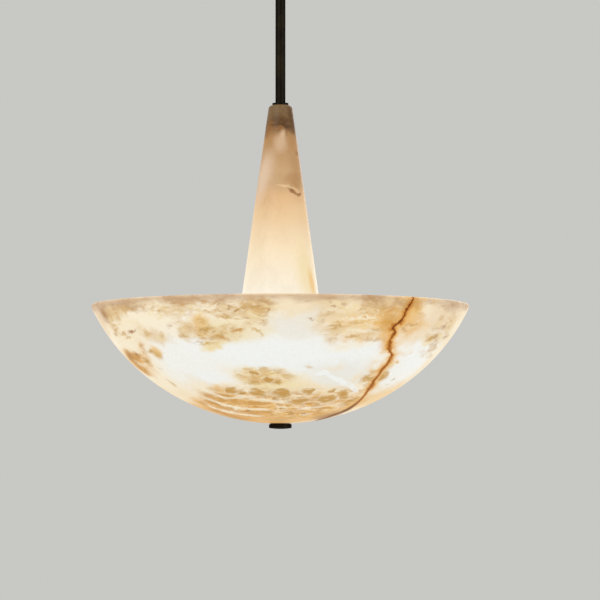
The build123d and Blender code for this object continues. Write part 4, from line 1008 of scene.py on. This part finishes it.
dress(BRONZE, "bronze", "canopy", "canopy_screws", "stem_tube", "cone_cap", "finial")
dress(ZINC, "zinc_steel", "crossbar", "stop_pin", "swivel_nut", "cone_support", "cluster_nut", "nipple_nuts")
dress(ZINC, "zinc_steel", "bowl_plate", "cover_screws")
dress(TUBE_STEEL, "zinc_steel", "cone_spacer", "bowl_spacer")
dress(BRASS, "brass", "earth_screw", "swivel_ring", "swivel_ball", "cluster_body", "cluster_cover")
dress(BRASS, "brass", "terminal_clamp_screws", "terminal_fixing_screw")
dress(PIPE_BRASS, "brass", "threaded_pipe", "holder_nipples")
dress(SHELL_BRASS, "brass", *numbered("holder_shell"), *numbered("centre_contact"))
dress(RUBBER, "gasket_rubber", "cap_washer", "cone_gasket", "inner_gasket", "outer_gasket")
dress(WHITE_MOULDING, "white_moulding", "terminal_block")

# ---- Lamps and holders ----


def lamp_place(number):
    """Turns a piece made along Z to lie along a lamp's axis, at the lamps' height."""
    angle = 2 * math.pi * (number - 1) / LAMP_COUNT
    out = Vector((math.cos(angle), math.sin(angle), 0.0))
    return Matrix.Translation((0.0, 0.0, LAMP_Z)) @ out.to_track_quat("Z", "Y").to_matrix().to_4x4()


def fluted(radius, height, angle):
    """The holder's body, with shallow flutes for grip between its shoulder and its flange."""
    start = HOLDER_BACK + HOLDER_SHOULDER + HOLDER_FLUTE_START
    end = HOLDER_MOUTH - HOLDER_FLANGE_WIDTH - HOLDER_FLUTE_END
    if radius < HOLDER_BODY_RADIUS - ROUNDING or not start < height < end:
        return radius
    ease = min(1.0, (height - start) / HOLDER_FLUTE_EASE, (end - height) / HOLDER_FLUTE_EASE)
    groove = max(0.0, math.cos(HOLDER_FLUTES * angle)) ** 2
    return radius - HOLDER_FLUTE_DEPTH * ease * groove


def holder_outline():
    """The holder's section: up the outside from its back, then down through its bores."""
    shoulder = HOLDER_BACK + HOLDER_SHOULDER
    flange = HOLDER_MOUTH - HOLDER_FLANGE_WIDTH
    nipple = HOLDER_BACK + HOLDER_NIPPLE_DEPTH
    socket = HOLDER_MOUTH - HOLDER_SOCKET_DEPTH
    bevel = HOLDER_MOUTH - HOLDER_SOCKET_BEVEL
    lip = HOLDER_SOCKET_RADIUS + HOLDER_SOCKET_LIP
    waist = HOLDER_NECK_RADIUS - HOLDER_GROOVE_DEPTH
    groove = [HOLDER_BACK + HOLDER_GROOVE_START]
    for width in (HOLDER_GROOVE_SIDE, HOLDER_GROOVE_FLOOR, HOLDER_GROOVE_SIDE):
        groove.append(groove[-1] + width)
    rise = (flange - shoulder) / HOLDER_SIDE_STEPS
    side = [(HOLDER_BODY_RADIUS, shoulder + rise * i, 0) for i in range(2, HOLDER_SIDE_STEPS)]
    return eased([
        (HOLDER_NIPPLE_BORE, HOLDER_BACK, HOLDER_BORE_ROUNDING),
        (HOLDER_NECK_RADIUS, HOLDER_BACK, HOLDER_BACK_ROUNDING),
        (HOLDER_NECK_RADIUS, groove[0], 0),
        (waist, groove[1], 0),
        (waist, groove[2], 0),
        (HOLDER_NECK_RADIUS, groove[3], 0),
        (HOLDER_NECK_RADIUS, shoulder, HOLDER_NECK_ROUNDING),
        (HOLDER_BODY_RADIUS, shoulder, HOLDER_BACK_ROUNDING),
        *side,
        (HOLDER_BODY_RADIUS, flange, 0),
        (HOLDER_FLANGE_RADIUS, flange, HOLDER_FLANGE_ROUNDING),
        (HOLDER_FLANGE_RADIUS, HOLDER_MOUTH, HOLDER_FLANGE_ROUNDING),
        (lip + HOLDER_SOCKET_BEVEL, HOLDER_MOUTH, 0),
        (lip, bevel, 0),
        (HOLDER_SOCKET_RADIUS, bevel, 0),
        (HOLDER_SOCKET_RADIUS, socket, 0),
        (HOLDER_WIRE_BORE, socket, 0),
        (HOLDER_WIRE_BORE, nipple, 0),
        (HOLDER_NIPPLE_BORE, nipple, 0),
    ])


def collar_outline():
    """The collar's section: flared in a hollow curve, with a bevelled brim where the globe sits."""
    foot, brim = COLLAR_LOW.x, COLLAR_HIGH.x
    points = [(0.0, foot), (COLLAR_FOOT_RADIUS - COLLAR_FOOT_BEVEL, foot)]
    for i in range(1, COLLAR_STEPS):
        share = i / COLLAR_STEPS
        radius = COLLAR_FOOT_RADIUS + (COLLAR_BRIM_RADIUS - COLLAR_FOOT_RADIUS) * share
        hollow = COLLAR_HOLLOW * math.sin(math.pi * share)
        points.append((radius - hollow, foot + COLLAR_LENGTH * share))
    points.append((COLLAR_BRIM_RADIUS, brim - COLLAR_BRIM_BEVEL))
    points.append((COLLAR_BRIM_RADIUS - COLLAR_BRIM_BEVEL, brim))
    points.append((0.0, brim))
    return points


def vented(radius, height, angle):
    """The collar's cooling slots, cut shallow between its foot and its brim."""
    share = (height - COLLAR_LOW.x) / COLLAR_LENGTH
    if not VENT_START < share < VENT_END:
        return radius
    ease = min(1.0, (share - VENT_START) / VENT_EASE, (VENT_END - share) / VENT_EASE)
    return radius - VENT_DEPTH * ease * max(0.0, math.cos(VENTS * angle)) ** 3


def globe_outline(steps=48):
    """The globe's section: outside from the collar to the far end, and back inside."""
    centre = GLOBE_HIGH.x - GLOBE_RADIUS
    points = []
    for radius, way in ((GLOBE_RADIUS, 1), (GLOBE_RADIUS - GLOBE_WALL, -1)):
        widest = math.acos(max(-1.0, (GLOBE_LOW.x - centre) / radius))
        turns = [widest * (1 - i / steps) for i in range(steps + 1)]
        points.extend([(radius * math.sin(t), centre + radius * math.cos(t)) for t in turns][::way])
    return points


def cap_outline(steps=120):
    """The cap's section: out along its contact tip, over its cone, and up its thread."""
    tip = CAP_LOW.x
    thread_foot = tip + CAP_TIP_LENGTH
    length = CAP_HIGH.x - thread_foot
    return [
        (0.0, tip),
        (CAP_TIP_RADIUS - CAP_TIP_BEVEL, tip),
        (CAP_TIP_RADIUS, tip + CAP_TIP_BEVEL),
        (CAP_TIP_RADIUS, tip + CAP_TIP_BAND),
        (CAP_RADIUS - CAP_THREAD_DEPTH - CAP_CONE_INSET, thread_foot - CAP_CONE_GAP),
        *((CAP_RADIUS, CAP_HIGH.x - length * (1 - i / steps)) for i in range(steps + 1)),
        (0.0, CAP_HIGH.x),
    ]


def threaded(radius, height, angle):
    """A rounded lamp thread on the cap, climbing with the angle."""
    if radius < CAP_RADIUS - ROUNDING:
        return radius
    turns = (height - CAP_HIGH.x) / CAP_THREAD_PITCH - angle / (2 * math.pi)
    ease = min(1.0, (CAP_HIGH.x - height) / CAP_THREAD_EASE)
    return radius - CAP_THREAD_DEPTH * ease * (0.5 + 0.5 * math.cos(2 * math.pi * turns))


def make_lamps():
    """Holder, cap, collar and globe of each lamp."""
    for number in range(1, LAMP_COUNT + 1):
        place = lamp_place(number)
        lamp = f"lamp_{number}"
        for kind, outline, segments, material, shape, body, slot in (
            ("lamp_holder", holder_outline(), 160, BLACK_MOULDING, fluted, "stem", "black_moulding"),
            ("lamp_cap", cap_outline(), 48, NICKEL, threaded, lamp, "nickel"),
            ("lamp_collar", collar_outline(), 128, IVORY_COLLAR, vented, lamp, "white_moulding"),
            ("lamp_globe", globe_outline(), 96, OPAL, None, lamp, "opal_glass"),
        ):
            piece = turned(f"{kind}_{number}_look", outline, segments, material, place, shape)
            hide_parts(f"{kind}_{number}")
            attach(piece, body)


make_lamps()

# ---- Stage and light ----

FLOOR_Z = -4.6
FLOOR_SIZE = 60.0


def make_stage():
    """A pale floor far below the pendant."""
    half = FLOOR_SIZE / 2
    nodes = Nodes("floor")
    nodes.set(Base_Color=srgb(228, 228, 224), Roughness=0.9)
    corners = [(-half, -half, FLOOR_Z), (half, -half, FLOOR_Z), (half, half, FLOOR_Z), (-half, half, FLOOR_Z)]
    mesh_object("floor", corners, [(0, 1, 2, 3)], nodes.material)


def make_light():
    """A pale room, a little darker to the camera than as light, and three soft area lamps."""
    world = bpy.data.worlds.new("world")
    bpy.context.scene.world = world
    world.use_nodes = True
    tree = world.node_tree
    path = tree.nodes.new("ShaderNodeLightPath")
    shade = tree.nodes.new("ShaderNodeMix")
    shade.data_type = "RGBA"
    shade.inputs[6].default_value = srgb(222, 222, 220)
    shade.inputs[7].default_value = srgb(200, 200, 197)
    tree.links.new(path.outputs["Is Camera Ray"], shade.inputs[0])
    tree.links.new(shade.outputs[2], tree.nodes["Background"].inputs["Color"])
    for name, place, power, size in (
        ("key", (-2.2, -2.6, 1.4), 60.0, 2.0),
        ("fill", (2.8, -2.0, 0.2), 26.0, 2.4),
        ("rear", (0.6, 3.0, 1.0), 30.0, 2.4),
    ):
        data = bpy.data.lights.new(name, "AREA")
        data.energy = power
        data.size = size
        lamp = bpy.data.objects.new(name, data)
        bpy.context.scene.collection.objects.link(lamp)
        lamp.location = place
        aim = Vector((0.0, 0.0, RIM_Z)) - lamp.location
        lamp.rotation_euler = aim.to_track_quat("-Z", "Y").to_euler()


make_stage()
make_light()
bpy.context.scene.view_settings.view_transform = "Standard"
